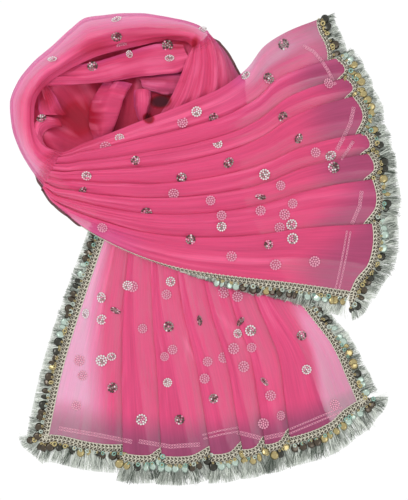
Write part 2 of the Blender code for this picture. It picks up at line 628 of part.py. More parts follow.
def hem_lace(name, rows, folds, start_corner, end_corner, heights, finish):
    """The lace on a hem, along the rows past its edge. Only the layers in view have fringe."""
    first, last = corner(rows, 0, 2, start_corner), corner(rows, -1, -3, end_corner)
    inner, outer, tips = (np.concatenate([[a], row, [b]]) for a, row, b in zip(first, rows, last))
    lift = unit(np.cross(np.gradient(inner, axis=0), outer - inner))
    lift *= np.sign(lift[1, 2])
    hidden = {fold * PLEAT_POINTS + step + 1 for fold in range(folds - 1) for step in range(2, 8)}
    lace(name, inner, outer, tips, lift, hidden, finish)
    heights.add(np.array([inner, outer]), LACE_WALL)
    heights.add(np.array([outer, tips]), LACE_WALL / 2)


def side_lace(name, edge, inside, widths, drop, fringe, bare, heights, finish):
    """The lace on a long edge. drop turns it from lying flat, at 0, towards hanging, at 1."""
    flat, own = unit((edge - inside) * (1, 1, 0)), unit(edge - inside)
    drop, widths = drop[:, None], widths[:, None]
    outward = unit(mix(flat, own - (0, 0, 1), drop))
    inner = edge + outward * (SEAM_GAP + NET_WALL * drop)
    outer = inner + outward * widths
    tips = outer + unit(outward * (1, 1, 0.3)) * np.linspace(*fringe, len(edge))[:, None]
    rest = heights.widened()
    between = np.linspace(0, 1, 7)[:, None, None]
    under_strip = rest[heights.cells(mix(inner, outer, between))].max(axis=0)
    under_fringe = rest[heights.cells(mix(outer, tips, between))].max(axis=0)
    outer[:, 2] = np.maximum(outer[:, 2], under_strip + LAYER_GAP + LACE_WALL / 2)
    tips[:, 2] = np.maximum(outer[:, 2] * 0.4, under_fringe + LAYER_GAP + LACE_WALL / 2)
    lift = unit(np.cross(np.gradient(edge, axis=0), outer - inner))
    lift *= np.sign(lift[-1, 2])
    lace(name, inner, outer, tips, lift, bare, finish)
    heights.add(np.array([inner, outer]), LACE_WALL)
    heights.add(np.array([outer, tips]), LACE_WALL / 2)


def soft_piece(name, sections, folds, rows, heights, finish):
    """A stretch of cloth with soft folds."""
    at = np.linspace(0, len(sections) - 1, rows)
    lay({name: soft_stretch(sections, at, folds, heights)}, heights, finish)


def core_and_lower_end(heights, inner_net, net, zari):
    """The lower panel laid over the core, and the core raised until the two touch."""
    points, faces = core_shape()
    add_core_heights(points, heights)
    at = np.array([0, 1, 2, 2.5, 3, 3.5, 4, 4.5, 5, 5.5, 6, 6.5, 7])
    panel, rows = pleated_end(LOWER_PANEL, at, LOWER_WIDTHS, LOWER_COVERS, LOWER_HEM_FRINGE, heights)
    under_panel = Heights()
    under_panel.add_solid(points, faces)
    room = under_panel.room_under(*wall_shape(panel, grid_normals(panel), NET_WALL))
    points[points[:, 2] > CORE_EDGE, 2] += room
    add_core_heights(points, heights)
    heights.add_solid(points, faces)
    solid("heap_core", points, faces, inner_net)
    lay({"lower_panel": panel}, heights, net, [rows])
    for name, column, inner_column, first in (("lower_left_lace", 0, 2, 2), ("lower_right_lace", -1, -2, 5)):
        edge, inside = panel[first:, column].copy(), panel[first:, inner_column]
        edge[-1] = mix(edge[-1], edge[-2], 0.04)
        full, flat = np.full(len(edge), LACE_WIDTH), np.zeros(len(edge))
        side_lace(name, edge, inside, full, flat, LOWER_SIDE_FRINGE, (), heights, zari)
    corners = (LOWER_LEFT_CORNER, LOWER_RIGHT_CORNER)
    hem_lace("lower_hem_lace", rows, len(LOWER_WIDTHS), *corners, heights, zari)


def loop_and_upper_end(heights, net, zari):
    loop_rows = np.linspace(0, SPLIT, 17)
    loop = soft_stretch(LOOP_AND_UPPER, loop_rows, LOOP_FOLDS, heights)
    at = np.linspace(SPLIT, len(LOOP_AND_UPPER) - 1, 13)
    upper, rows = pleated_end(LOOP_AND_UPPER, at, UPPER_WIDTHS, UPPER_COVERS, UPPER_HEM_FRINGE, heights)
    upper[0] = mix(upper[0], upper[1], 0.06)
    lay({"loop_stretch": loop, "upper_panel": upper}, heights, net, [rows])
    edge, inside = upper[3:, -1].copy(), upper[3:, -2]
    edge[-1] = mix(edge[-1], edge[-2], 0.04)
    count = len(edge)
    drop = np.linspace(0.5, 0, count)
    widths = np.linspace(0.008, LACE_WIDTH, count)
    bare = (0, 1, 2)
    side_lace("upper_side_lace", edge, inside, widths, drop, UPPER_SIDE_FRINGE, bare, heights, zari)
    corners = (UPPER_PLAIN_CORNER, UPPER_RIGHT_CORNER)
    hem_lace("upper_hem_lace", rows, len(UPPER_WIDTHS), *corners, heights, zari)


def main():
    for old in list(bpy.data.objects):
        bpy.data.objects.remove(old)
    net = material("net", PINK, 0.7, 0.0)
    zari = material("zari_lace", ZARI, 0.4, 0.6)
    heights = Heights()
    core_and_lower_end(heights, material("net_inside", DEEP_PINK, 0.8, 0.0), net, zari)
    soft_piece("inner_roll", INNER_ROLL, 1, 8, heights, net)
    soft_piece("left_flap", LEFT_FLAP, 2, 6, heights, net)
    soft_piece("inner_bridge", INNER_BRIDGE, 2, 6, heights, net)
    soft_piece("inner_petal", INNER_PETAL, 1, 6, heights, net)
    soft_piece("inner_crescent", INNER_CRESCENT, 2, 8, heights, net)
    soft_piece("inner_band", INNER_BAND, 2, 12, heights, net)
    soft_piece("rising_stretch", RISING, RISING_FOLDS, 9, heights, net)
    loop_and_upper_end(heights, net, zari)


main()
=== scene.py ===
"""The looks of a pink net dupatta stole: folded net, sequin motifs, braid, large sequins and fringe."""

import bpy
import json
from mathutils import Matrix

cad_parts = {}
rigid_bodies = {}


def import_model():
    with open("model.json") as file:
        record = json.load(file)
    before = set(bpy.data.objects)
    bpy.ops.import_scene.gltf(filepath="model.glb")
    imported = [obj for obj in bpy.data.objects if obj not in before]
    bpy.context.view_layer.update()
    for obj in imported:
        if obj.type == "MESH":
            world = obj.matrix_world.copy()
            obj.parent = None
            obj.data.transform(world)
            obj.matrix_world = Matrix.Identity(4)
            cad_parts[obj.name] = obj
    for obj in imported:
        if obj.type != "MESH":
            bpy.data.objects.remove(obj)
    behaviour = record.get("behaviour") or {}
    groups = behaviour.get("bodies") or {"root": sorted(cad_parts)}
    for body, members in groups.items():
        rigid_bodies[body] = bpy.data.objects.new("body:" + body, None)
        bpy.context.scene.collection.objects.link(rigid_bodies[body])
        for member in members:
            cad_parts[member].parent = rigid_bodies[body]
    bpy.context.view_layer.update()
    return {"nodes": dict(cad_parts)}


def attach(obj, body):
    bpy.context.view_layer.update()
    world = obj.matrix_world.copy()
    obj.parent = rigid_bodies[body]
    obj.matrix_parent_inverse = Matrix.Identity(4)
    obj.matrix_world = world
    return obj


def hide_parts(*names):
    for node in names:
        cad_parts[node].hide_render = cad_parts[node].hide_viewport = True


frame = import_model()

import json
import math
from collections import namedtuple

import bmesh
import bpy
import numpy as np
from mathutils import Vector
from mathutils.bvhtree import BVHTree

rng = np.random.default_rng(11)

# The photograph is taken from straight above this place, and one of its pixels is this wide on the surface.
VIEW_X = -0.0015
VIEW_Y = 0.0022
VIEW_HEIGHT = 1.6
PIXEL = 0.0018
PHOTO_WIDTH = 408
PHOTO_HEIGHT = 500

# The net's wall in the frame, how near its points are joined, and how high cloth and all else stay.
WALL = 0.0011
MERGE = 2e-5
FLOOR_CLEAR = 0.0012
ABOVE_FLOOR = 0.0003

# Each pleat has this many columns in the frame, and its hem is puffed up this far.
PLEAT_POINTS = 8
HEM_PUFF = 0.003

# The last rows of a stretch, which tell the way that its hem faces.
HEM_ROWS = 9

# Rows that a stretch takes over from the one before it.
OVERLAP = 12

# Where the bunched net swirls round, and where it fades out under the upper panel.
GATHER_PLACE = (-0.15, 0.155)
CORE_END = 0.074
CORE_FADE = 0.045


def unit(vectors):
    return vectors / np.maximum(np.linalg.norm(vectors, axis=-1, keepdims=True), 1e-9)


def mix(a, b, share):
    return a + (b - a) * share


def soft(share):
    """0 to 1 with a gentle start and end."""
    share = np.clip(share, 0, 1)
    return share * share * (3 - 2 * share)


def kept_above(points, height=FLOOR_CLEAR):
    """The points, raised to this height where they are lower."""
    points[..., 2] = np.maximum(points[..., 2], height)
    return points


def over_level(points, slope):
    """The points or directions with their heights made less by this factor."""
    return points * (1, 1, slope)


# Reading the walls of net

def upper_skin(node, columns):
    """The upper skin of a wall in the frame: its points, the neighbours of each, and those round its rim.

    The edges that cross the wall's thickness stand all round the rim, and nowhere else.
    """
    bm = bmesh.new()
    bm.from_mesh(frame["nodes"][node].data)
    bmesh.ops.remove_doubles(bm, verts=bm.verts, dist=MERGE)
    round_it = 2 * (columns + len(bm.verts) // 2 // columns) - 4
    through = sorted(bm.edges, key=lambda edge: abs(edge.calc_length() - WALL))[:round_it]
    rim = {face for edge in through for face in edge.link_faces}
    bmesh.ops.delete(bm, geom=list(rim), context="FACES")
    left, best = set(bm.faces), (0, [])
    while left:
        found, island = [left.pop()], []
        while found:
            face = found.pop()
            island.append(face)
            near = {other for edge in face.edges for other in edge.link_faces} & left
            left -= near
            found += near
        facing = sum(face.normal.z * face.calc_area() for face in island)
        if facing > best[0]:
            best = (facing, island)
    edges = {edge for face in best[1] for edge in face.edges}
    verts = sorted({vert for edge in edges for vert in edge.verts}, key=lambda vert: vert.index)
    number = {vert: i for i, vert in enumerate(verts)}
    near = [set() for _ in verts]
    rim_near = {}
    island = set(best[1])
    for edge in edges:
        a, b = (number[vert] for vert in edge.verts)
        near[a].add(b)
        near[b].add(a)
        if len(set(edge.link_faces) & island) == 1:
            rim_near.setdefault(a, []).append(b)
            rim_near.setdefault(b, []).append(a)
    points = np.array([vert.co for vert in verts])
    bm.free()
    ring = [next(iter(rim_near))]
    while len(ring) < len(rim_near):
        ring.append(next(i for i in rim_near[ring[-1]] if i != ring[-2:-1] and i not in ring[-2:]))
    return points, near, ring


def walked(ring, rows, columns, near):
    """The grid that starts at the ring's first point with its first row along the ring, or None."""
    right = ring[columns - 1 : columns - 1 + rows]
    left = [ring[0]] + ring[: -rows : -1]
    grid, used = [ring[:columns]], set(ring[:columns])
    for i in range(1, rows):
        row = [left[i]]
        used.add(left[i])
        for j in range(1, columns):
            common = (near[grid[-1][j]] & near[row[-1]]) - used
            if len(common) != 1:
                return None
            row.append(common.pop())
            used.add(row[-1])
        if row[-1] != right[i]:
            return None
        grid.append(row)
    return grid


def wall_grid(node, columns, first, last):
    """The points of a wall's upper skin, row by row, from near first to near last."""
    points, near, ring = upper_skin(node, columns)
    rows = len(points) // columns
    best, grid = 1e9, None
    for turned in (ring, ring[::-1]):
        for start in range(len(ring)):
            found = walked(turned[start:] + turned[:start], rows, columns, near)
            if found:
                off = np.linalg.norm(points[found[0][0]][:2] - first)
                off += np.linalg.norm(points[found[-1][-1]][:2] - last)
                if off < best:
                    best, grid = off, points[np.array(found)]
    if grid is None:
        raise ValueError(f"{node} has no grid of {columns} columns, with {len(points)} points")
    return grid


# Fine cloth

def flowing(points, places):
    """Points read at fractional places along axis 1, on a smooth curve that never overshoots."""
    step = np.diff(points, axis=1)
    gap = np.maximum(np.linalg.norm(step, axis=2, keepdims=True), 1e-6)
    slope = step / gap
    before, after = slope[:, :-1], slope[:, 1:]
    weight_a, weight_b = 2 * gap[:, 1:] + gap[:, :-1], gap[:, 1:] + 2 * gap[:, :-1]
    same = before * after > 1e-12
    safe_a, safe_b = np.where(same, before, 1), np.where(same, after, 1)
    middle = np.where(same, (weight_a + weight_b) / (weight_a / safe_a + weight_b / safe_b), 0)
    slopes = np.concatenate([slope[:, :1], middle, slope[:, -1:]], axis=1)
    low = np.clip(places.astype(int), 0, points.shape[1] - 2)
    f = (places - low)[None, :, None]
    wide = gap[:, low]
    return (
        (2 * f**3 - 3 * f**2 + 1) * points[:, low]
        + (f**3 - 2 * f**2 + f) * wide * slopes[:, low]
        + (3 * f**2 - 2 * f**3) * points[:, low + 1]
        + (f**3 - f**2) * wide * slopes[:, low + 1]
    )


def fine_places(grid, spacing):
    """Fractional places along axis 1, this far apart where the grid is widest, two or more to a step."""
    widest = np.linalg.norm(np.diff(grid, axis=1), axis=2).max(axis=0)
    counts = np.maximum(2, np.ceil(widest / spacing).astype(int))
    places = [np.linspace(i, i + 1, count, endpoint=False) for i, count in enumerate(counts)]
    return np.concatenate(places + [[grid.shape[1] - 1.0]])


def refined(grid, spacing):
    """The grid with points between its own, and the place of each new column among the old ones."""
    places = fine_places(grid, spacing)
    grid = flowing(grid, places)
    turned = grid.transpose(1, 0, 2)
    return flowing(turned, fine_places(turned, spacing)).transpose(1, 0, 2), places


def normals_of(grid):
    normals = unit(np.cross(np.gradient(grid, axis=0), np.gradient(grid, axis=1)))
    return normals * (np.sign(normals[..., 2].mean()) or 1)


def measured(grid):
    """Distance across at the widest row and distance along, for each point, in metres."""
    across = np.linalg.norm(np.diff(grid, axis=1), axis=2)
    across = np.concatenate([[0], np.cumsum(across[np.argmax(across.sum(axis=1))])])
    along = np.linalg.norm(np.diff(grid, axis=0), axis=2).mean(axis=1)
    along = np.concatenate([[0], np.cumsum(along)])
    return np.meshgrid(across, along)


# A crease is a soft ridge, or a trough where its height is negative. It runs along the cloth from one
# share of the length to another, and lies at a share of the width at each of its ends.
Crease = namedtuple("Crease", "from_along to_along from_across to_across width height")

# Gathers are slight folds side by side. Each one runs from the start of the stretch, or from its end
# where turned is 1, as far as a share of the length between low and high.
Gathers = namedtuple("Gathers", "count height low high turned")


def shares(grid):
    across, along = measured(grid)
    return across / across.max(), along / along.max()


def gathered(grid, gathers):
    """The lift of the gathers, each of its own width, height and reach."""
    u, v = shares(grid)
    v = 1 - v if gathers.turned else v
    widths = np.cumsum(rng.uniform(0.4, 1.6, gathers.count + 1))
    edges = (widths - widths[0]) / (widths[-1] - widths[0])
    drift = 0.012 * np.sin(2.2 * v + 9 * u) + 0.005 * np.sin(7 * v + 23 * u)
    x = np.interp(u + drift * v, edges, np.arange(gathers.count + 1))
    which = np.clip(x.astype(int), 0, gathers.count - 1)
    tall = rng.uniform(0.25, 1.25, gathers.count)[which]
    reach = rng.uniform(gathers.low, gathers.high, gathers.count)[which]
    fading = soft((reach - v) / 0.3) * soft(v / 0.08 + 0.1)
    return gathers.height * tall * fading * (np.abs(np.sin(math.pi * x)) ** 0.8 - 0.5)


def creased(grid, creases, extra, gathers, depth):
    """The grid with its creases and gathers raised along the normals, and how high they are."""
    width = measured(grid)[0].max()
    share_across, share_along = shares(grid)
    made = list(creases)
    for _ in range(extra):
        start, middle = rng.uniform(-0.2, 0.7), rng.uniform(0, 1)
        sign = rng.choice([-0.6, 1])
        made.append(Crease(
            start, start + rng.uniform(0.2, 0.7), middle, middle + rng.normal(0, 0.025),
            rng.uniform(0.003, 0.010), sign * rng.uniform(0.0004, 0.0013),
        ))
    lift = gathered(grid, gathers)
    for c in made:
        t = (share_along - c.from_along) / (c.to_along - c.from_along)
        line = mix(c.from_across, c.to_across, t) + 0.006 * np.sin(5 * t + 40 * c.from_across)
        away = (share_across - line) * width / c.width
        window = soft(4 * t) * soft(4 * (1 - t))
        lift += c.height * window * np.exp(-(away**2))
    lift = lift * depth
    return kept_above(grid + normals_of(grid) * lift[..., None]), lift


def along_row(row):
    """The distance of each point of a row from its first, as a share of the whole."""
    walked_so_far = np.concatenate([[0], np.cumsum(np.linalg.norm(np.diff(row, axis=0), axis=1))])
    return walked_so_far / walked_so_far[-1]


def read_along(places, known, values):
    """The values, one row for each known place, read at other places between them."""
    return np.stack([np.interp(places, known, column) for column in values.T], axis=1)


def joined(before, grid):
    """The grid with the last rows of the stretch before it, so that it lies over their seam."""
    own, seam_lift = along_row(grid[0]), (0, 0, 0.0009)
    rows = [read_along(own, along_row(row), row) + seam_lift for row in before[-OVERLAP:]]
    return np.concatenate([rows, grid])


def pleat_faces(places, row, pleats):
    """How far each column is across its pleat's face, how much the lace splays, and whether it shows."""
    across, splay, shown = np.zeros(len(places)), np.zeros(len(places)), np.ones(len(places))
    for number in range(pleats):
        start = number * PLEAT_POINTS
        end = start + (3 if number == pleats - 1 else 2)
        face = (places >= start) & (places <= end)
        across[face] = along_row(row[face])
        splay[face] = 2 * across[face] - 1
        under = (places > end) & (places < start + PLEAT_POINTS)
        splay[under] = 1 - 2 * (places[under] - end) / (PLEAT_POINTS - 2)
        shown[under] = 0
    return across, splay, shown


def rounded_hem(grid, across, reach):
    """The end of a pleated stretch with each pleat's hem bowed outward and puffed up in its middle."""
    _, along = shares(grid)
    near_hem = soft((along - 0.84) / 0.16)[..., None]
    travel = unit(over_level(grid[-1] - grid[-HEM_ROWS], 0))
    bow = np.sin(math.pi * across)[:, None]
    from_corner = np.minimum(along_row(grid[-1]), 1 - along_row(grid[-1]))[:, None]
    grid = grid + travel * (reach * (bow - 0.5)) * near_hem * soft(from_corner / 0.06)
    grid[..., 2] += HEM_PUFF * bow[:, 0] * near_hem[..., 0]
    return grid


def grid_faces(rows, columns):
    i, j = np.meshgrid(np.arange(rows - 1), np.arange(columns - 1), indexing="ij")
    a = (i * columns + j).ravel()
    return np.stack([a, a + 1, a + columns + 1, a + columns], axis=1)


def piece(name, points, faces, finishes, chosen=None):
    """A mesh object that rides on the body. chosen gives each face one of the finishes."""
    mesh = bpy.data.meshes.new(name)
    points = kept_above(np.array(points, float).reshape(-1, 3), ABOVE_FLOOR)
    mesh.from_pydata(points.tolist(), [], np.asarray(faces).tolist())
    for finish in finishes:
        mesh.materials.append(finish)
    if chosen is not None:
        mesh.polygons.foreach_set("material_index", np.asarray(chosen, np.int32))
    mesh.polygons.foreach_set("use_smooth", np.full(len(mesh.polygons), True))
    made = bpy.data.objects.new(name, mesh)
    bpy.context.scene.collection.objects.link(made)
    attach(made, "root")
    return made


def mark(made, **facts):
    """Numbers for the material to read, one for each point."""
    for name, values in facts.items():
        layer = made.data.attributes.new(name, "FLOAT", "POINT")
        layer.data.foreach_set("value", np.asarray(values, np.float32).ravel())


def add_map(made, across, along, name="weave"):
    """A map of the cloth or its strands, from two grids of numbers."""
    layer = made.data.uv_layers.new(name=name)
    corners = np.empty(len(made.data.loops), np.int32)
    made.data.loops.foreach_get("vertex_index", corners)
    place = np.stack([across.ravel(), along.ravel()], axis=1)
    layer.data.foreach_set("uv", place[corners].ravel().astype(np.float32))


# Materials

def nodes_of(name):
    made = bpy.data.materials.new(name)
    made.use_nodes = True
    tree = made.node_tree
    return made, tree, tree.nodes["Principled BSDF"]


def join(tree, value, socket):
    """Sets an input to a value, or to the output of another node."""
    if isinstance(value, bpy.types.NodeSocket):
        tree.links.new(value, socket)
    else:
        socket.default_value = value


def linked(tree, kind, **inputs):
    """A node with its inputs joined, each by its name, or by its number after an i."""
    node = tree.nodes.new(kind)
    for key, value in inputs.items():
        numbered = key[0] == "i" and key[1:].isdigit()
        join(tree, value, node.inputs[int(key[1:]) if numbered else key])
    return node


def maths(tree, operation, a, b):
    node = linked(tree, "ShaderNodeMath", i0=a, i1=b)
    node.operation = operation
    return node.outputs[0]


def ranged(tree, value, low, high, new_low=0.0, new_high=1.0):
    """A value carried from one range to another, and kept inside it."""
    node = linked(tree, "ShaderNodeMapRange", Value=value, i1=low, i2=high, i3=new_low, i4=new_high)
    return node.outputs[0]


def clamped(tree, value, low, high):
    return linked(tree, "ShaderNodeClamp", Value=value, Min=low, Max=high).outputs[0]


def mapped(tree, map_name, scale, turn=0.0):
    """The places of a map, stretched and turned."""
    uv = tree.nodes.new("ShaderNodeUVMap")
    uv.uv_map = map_name
    node = linked(tree, "ShaderNodeMapping", Vector=uv.outputs[0], Rotation=(0, 0, turn), Scale=scale)
    return node.outputs[0]


def blended(tree, share, a, b):
    node = tree.nodes.new("ShaderNodeMix")
    node.data_type = "RGBA"
    for number, value in ((0, share), (6, a), (7, b)):
        join(tree, value, node.inputs[number])
    return node.outputs[2]


def attribute(tree, name):
    node = tree.nodes.new("ShaderNodeAttribute")
    node.attribute_name = name
    return node.outputs["Fac"]


def rgb(red, green, blue):
    """A colour given as it looks on a screen, from 0 to 255, as Blender's linear colour."""
    parts = [c / 255 for c in (red, green, blue)]
    return tuple(c / 12.92 if c < 0.04045 else ((c + 0.055) / 1.055) ** 2.4 for c in parts) + (1.0,)


def streaked(tree, map_name, scale):
    """Long uneven streaks along the cloth, where its layers slide over each other."""
    places = mapped(tree, map_name, scale)
    return linked(tree, "ShaderNodeTexNoise", Vector=places, Scale=1.0, Detail=3.0).outputs[0]


def net_material():
    """Soft net with a fine hexagonal mesh. Where more of it lies together it lets less through."""
    made, tree, shader = nodes_of("pink_net")
    closeness, hollow, fold = (attribute(tree, name) for name in ("closeness", "hollow", "fold"))
    streaks = streaked(tree, "weave", (60, 5, 1))
    fine_streaks = streaked(tree, "weave", (300, 12, 1))
    places = mapped(tree, "weave", (560, 650, 1), 0.5)
    mesh = linked(tree, "ShaderNodeTexVoronoi", Vector=places, Scale=1.0, Randomness=0.35)
    mesh.feature = "DISTANCE_TO_EDGE"
    mesh.inputs["Scale"].default_value = 1.0
    thread = ranged(tree, mesh.outputs["Distance"], 0.05, 0.28, 1.0, 0.0)

    alpha = ranged(tree, closeness, 0.2, 1.0, 0.72, 1.06)
    for change in (
        ranged(tree, streaks, 0.3, 0.7, -0.03, 0.03),
        ranged(tree, thread, 0.0, 1.0, -0.03, 0.03),
        ranged(tree, fine_streaks, 0.3, 0.7, -0.02, 0.02),
    ):
        alpha = maths(tree, "ADD", alpha, change)
    alpha = maths(tree, "MULTIPLY", clamped(tree, alpha, 0.1, 1.0), attribute(tree, "presence"))
    tree.links.new(alpha, shader.inputs["Alpha"])

    colour = blended(tree, ranged(tree, closeness, 0.4, 0.8), THIN_NET, FULL_NET)
    colour = blended(tree, ranged(tree, closeness, 0.14, 0.36, 1.0, 0.0), colour, THINNEST_NET)
    # Partly painted shade: mauve over the turned hems and along some sides.
    colour = blended(tree, attribute(tree, "dusk"), colour, DUSKY_SHADED_NET)
    # Painted shade: the net darkens to deep red, and past 1 to maroon, where it lies down in the heap.
    colour = blended(tree, clamped(tree, hollow, 0.0, 1.0), colour, NET_IN_SHADE)
    colour = blended(tree, ranged(tree, hollow, 1.0, 2.0), colour, NET_IN_DEEPEST_SHADE)
    # Painted highlight on the ridges of the folds.
    colour = blended(tree, ranged(tree, fold, 0.2, 1.0, 0.0, 0.22), colour, RIDGE_HIGHLIGHT_NET)
    bright = ranged(tree, streaks, 0.3, 0.7, 0.93, 1.07)
    bright = maths(tree, "ADD", bright, ranged(tree, fine_streaks, 0.3, 0.7, -0.06, 0.06))
    # Painted light and shade of the folds: ridges brighter, troughs darker.
    bright = maths(tree, "ADD", bright, maths(tree, "MULTIPLY", fold, 0.09))
    varied = linked(tree, "ShaderNodeHueSaturation", Color=colour, Value=bright)
    tree.links.new(varied.outputs[0], shader.inputs["Base Color"])

    shader.inputs["Roughness"].default_value = 0.62
    shader.inputs["Subsurface Weight"].default_value = 0.35
    shader.inputs["Subsurface Radius"].default_value = (1.0, 0.45, 0.6)
    shader.inputs["Subsurface Scale"].default_value = 0.006
    shader.inputs["Sheen Weight"].default_value = 0.12
    shader.inputs["Sheen Roughness"].default_value = 0.4
    shader.inputs["Sheen Tint"].default_value = rgb(255, 190, 220)
    shader.inputs["Specular IOR Level"].default_value = 0.2
    bump = linked(tree, "ShaderNodeBump", Strength=0.3, Distance=0.0009, Height=streaks)
    fine_bump = linked(
        tree, "ShaderNodeBump", Strength=0.35, Distance=0.0003, Height=fine_streaks, Normal=bump.outputs[0]
    )
    tree.links.new(fine_bump.outputs[0], shader.inputs["Normal"])
    return made


def metal(name, colour, roughness, metallic=0.9, coat=0.0, darkest=0.5):
    """Metallic thread or foil, in places as dark as this share of its colour."""
    made, tree, shader = nodes_of(name)
    place = tree.nodes.new("ShaderNodeTexCoord").outputs["Object"]
    tone = linked(tree, "ShaderNodeTexNoise", Vector=place, Scale=420.0, Detail=2.0).outputs[0]
    dark = tuple(c * darkest for c in colour[:3]) + (1.0,)
    tree.links.new(blended(tree, tone, dark, colour), shader.inputs["Base Color"])
    rough = ranged(tree, tone, 0.0, 1.0, roughness * 0.7, roughness * 1.3)
    tree.links.new(rough, shader.inputs["Roughness"])
    shader.inputs["Metallic"].default_value = metallic
    shader.inputs["Coat Weight"].default_value = coat
    return made


def fringe_material(name):
    """Fine metallic eyelash yarn, from grey green to silver, each strand in its own tone."""
    made, tree, shader = nodes_of(name)
    colour = blended(tree, attribute(tree, "tone"), rgb(66, 80, 66), rgb(246, 252, 242))
    tree.links.new(colour, shader.inputs["Base Color"])
    shader.inputs["Metallic"].default_value = 0.15
    shader.inputs["Roughness"].default_value = 0.5
    return made, tree, shader


def haze_material():
    """The finest strands between the others: thin streaks that end unevenly."""
    made, tree, shader = fringe_material("fringe_haze")
    fine = streaked(tree, "strands", (900, 0.8, 1))
    tufts = streaked(tree, "strands", (95, 0.3, 1))
    down = linked(tree, "ShaderNodeSeparateXYZ", i0=mapped(tree, "strands", (1, 1, 1))).outputs[1]
    shown = maths(tree, "ADD", fine, maths(tree, "MULTIPLY", maths(tree, "SUBTRACT", tufts, 0.5), 0.5))
    past_edge = maths(tree, "SUBTRACT", shown, ranged(tree, down, 0.0, 1.0, 0.22, 0.42))
    alpha = clamped(tree, maths(tree, "MULTIPLY", past_edge, 9.0), 0.0, 0.82)
    tree.links.new(alpha, shader.inputs["Alpha"])
    return made


THINNEST_NET = rgb(222, 150, 196)
THIN_NET = rgb(220, 88, 152)
FULL_NET = rgb(217, 76, 122)
# Mauve over the turned hems, partly painted shade.
DUSKY_SHADED_NET = rgb(150, 72, 108)
# Painted highlight on fold ridges.
RIDGE_HIGHLIGHT_NET = rgb(236, 134, 172)
# Colours of the painted shade down in the heap.
NET_IN_SHADE = rgb(172, 22, 52)
NET_IN_DEEPEST_SHADE = rgb(84, 22, 40)
NET = net_material()
TAPE = metal("lace_tape", rgb(96, 86, 70), 0.65, 0.1)
BRAID = metal("zari_braid", rgb(248, 243, 224), 0.3, 0.35, 0.0, 0.7)
EDGE = metal("lace_seen_edge_on", rgb(118, 70, 76), 0.6, 0.1)
FRINGE = fringe_material("fringe_yarn")[0]
HAZE = haze_material()
BEAD = metal("pale_gold_bead", rgb(226, 206, 150), 0.3, 0.6)
DISCS = [
    metal("sequin_bronze", rgb(88, 76, 60), 0.2, 0.6, 0.5),
    metal("sequin_black_olive", rgb(58, 58, 48), 0.2, 0.6, 0.5),
    metal("sequin_gold", rgb(208, 190, 132), 0.22, 0.7, 0.4),
    metal("sequin_mint", rgb(208, 230, 216), 0.22, 0.4, 0.4, 0.55),
]
WASHERS = [
    metal("washer_pearl", rgb(216, 232, 218), 0.25, 0.3, 0.4),
    metal("washer_gold", rgb(222, 206, 146), 0.25, 0.6, 0.4),
    metal("washer_mint", rgb(160, 206, 190), 0.25, 0.4, 0.4),
]
MOTIFS = [
    metal("motif_silver", rgb(252, 246, 246), 0.4, 0.15, 0.3, 0.75),
    metal("motif_pewter", rgb(178, 166, 160), 0.35, 0.4, 0.3, 0.7),
    metal("motif_rose", rgb(246, 166, 194), 0.5, 0.0, 0.1, 0.85),
    metal("motif_dark", rgb(92, 84, 76), 0.35, 0.4, 0.3),
]


# The stretches of net. flat is the width and length of the cut that shows there, and area its true area,
# as the cut is narrower where it is gathered in.

# The number after closeness is a painted shade for the whole stretch, deeper red where it lies down in the
# heap.
Stretch = namedtuple(
    "Stretch", "node columns first last spacing closeness hollow extra follows flat area held rests_on"
)
STRETCHES = [
    Stretch("lower_panel", 52, (-0.10, 0.17), (0.27, -0.28), 0.0034, 0.80, 0.0, 90, None,
            (1.0, 0.56), 0.40, "laid", "heap_core"),
    Stretch("rising_stretch", 24, (-0.10, 0.20), (0.01, 0.38), 0.0024, 0.84, 0.10, 40, None,
            (0.34, 0.22), 0.030, "gathered", "heap_core"),
    Stretch("loop_stretch", 20, (-0.02, 0.37), (-0.28, 0.12), 0.0026, 0.84, 0.02, 30, "rising_stretch",
            (0.11, 0.62), 0.062, "draped", "heap_core"),
    Stretch("upper_panel", 60, (-0.25, 0.17), (0.27, -0.07), 0.0034, 0.80, 0.0, 110, "loop_stretch",
            (1.0, 0.62), 0.42, "draped", "lower_panel"),
    Stretch("inner_band", 8, (-0.28, 0.32), (-0.02, 0.33), 0.0022, 0.86, 0.10, 26, None,
            (0.06, 0.28), 0.016, "gathered", "heap_core"),
    Stretch("inner_bridge", 8, (-0.11, 0.31), (-0.04, 0.28), 0.002, 0.76, 0.1, 12, None,
            (0.05, 0.09), 0.004, "gathered", "heap_core"),
    Stretch("inner_crescent", 8, (-0.18, 0.30), (-0.17, 0.19), 0.002, 0.86, 0.22, 14, None,
            (0.07, 0.12), 0.008, "gathered", "heap_core"),
    Stretch("inner_petal", 4, (-0.12, 0.29), (-0.10, 0.23), 0.002, 0.80, 0.1, 6, None,
            (0.04, 0.06), 0.0023, "gathered", "heap_core"),
    Stretch("inner_roll", 4, (-0.25, 0.22), (-0.23, 0.14), 0.002, 0.86, 0.05, 10, None,
            (0.04, 0.14), 0.005, "gathered", "heap_core"),
    Stretch("left_flap", 8, (-0.28, 0.29), (-0.29, 0.24), 0.002, 0.84, 0.1, 10, None,
            (0.05, 0.06), 0.0023, "gathered", "heap_core"),
]
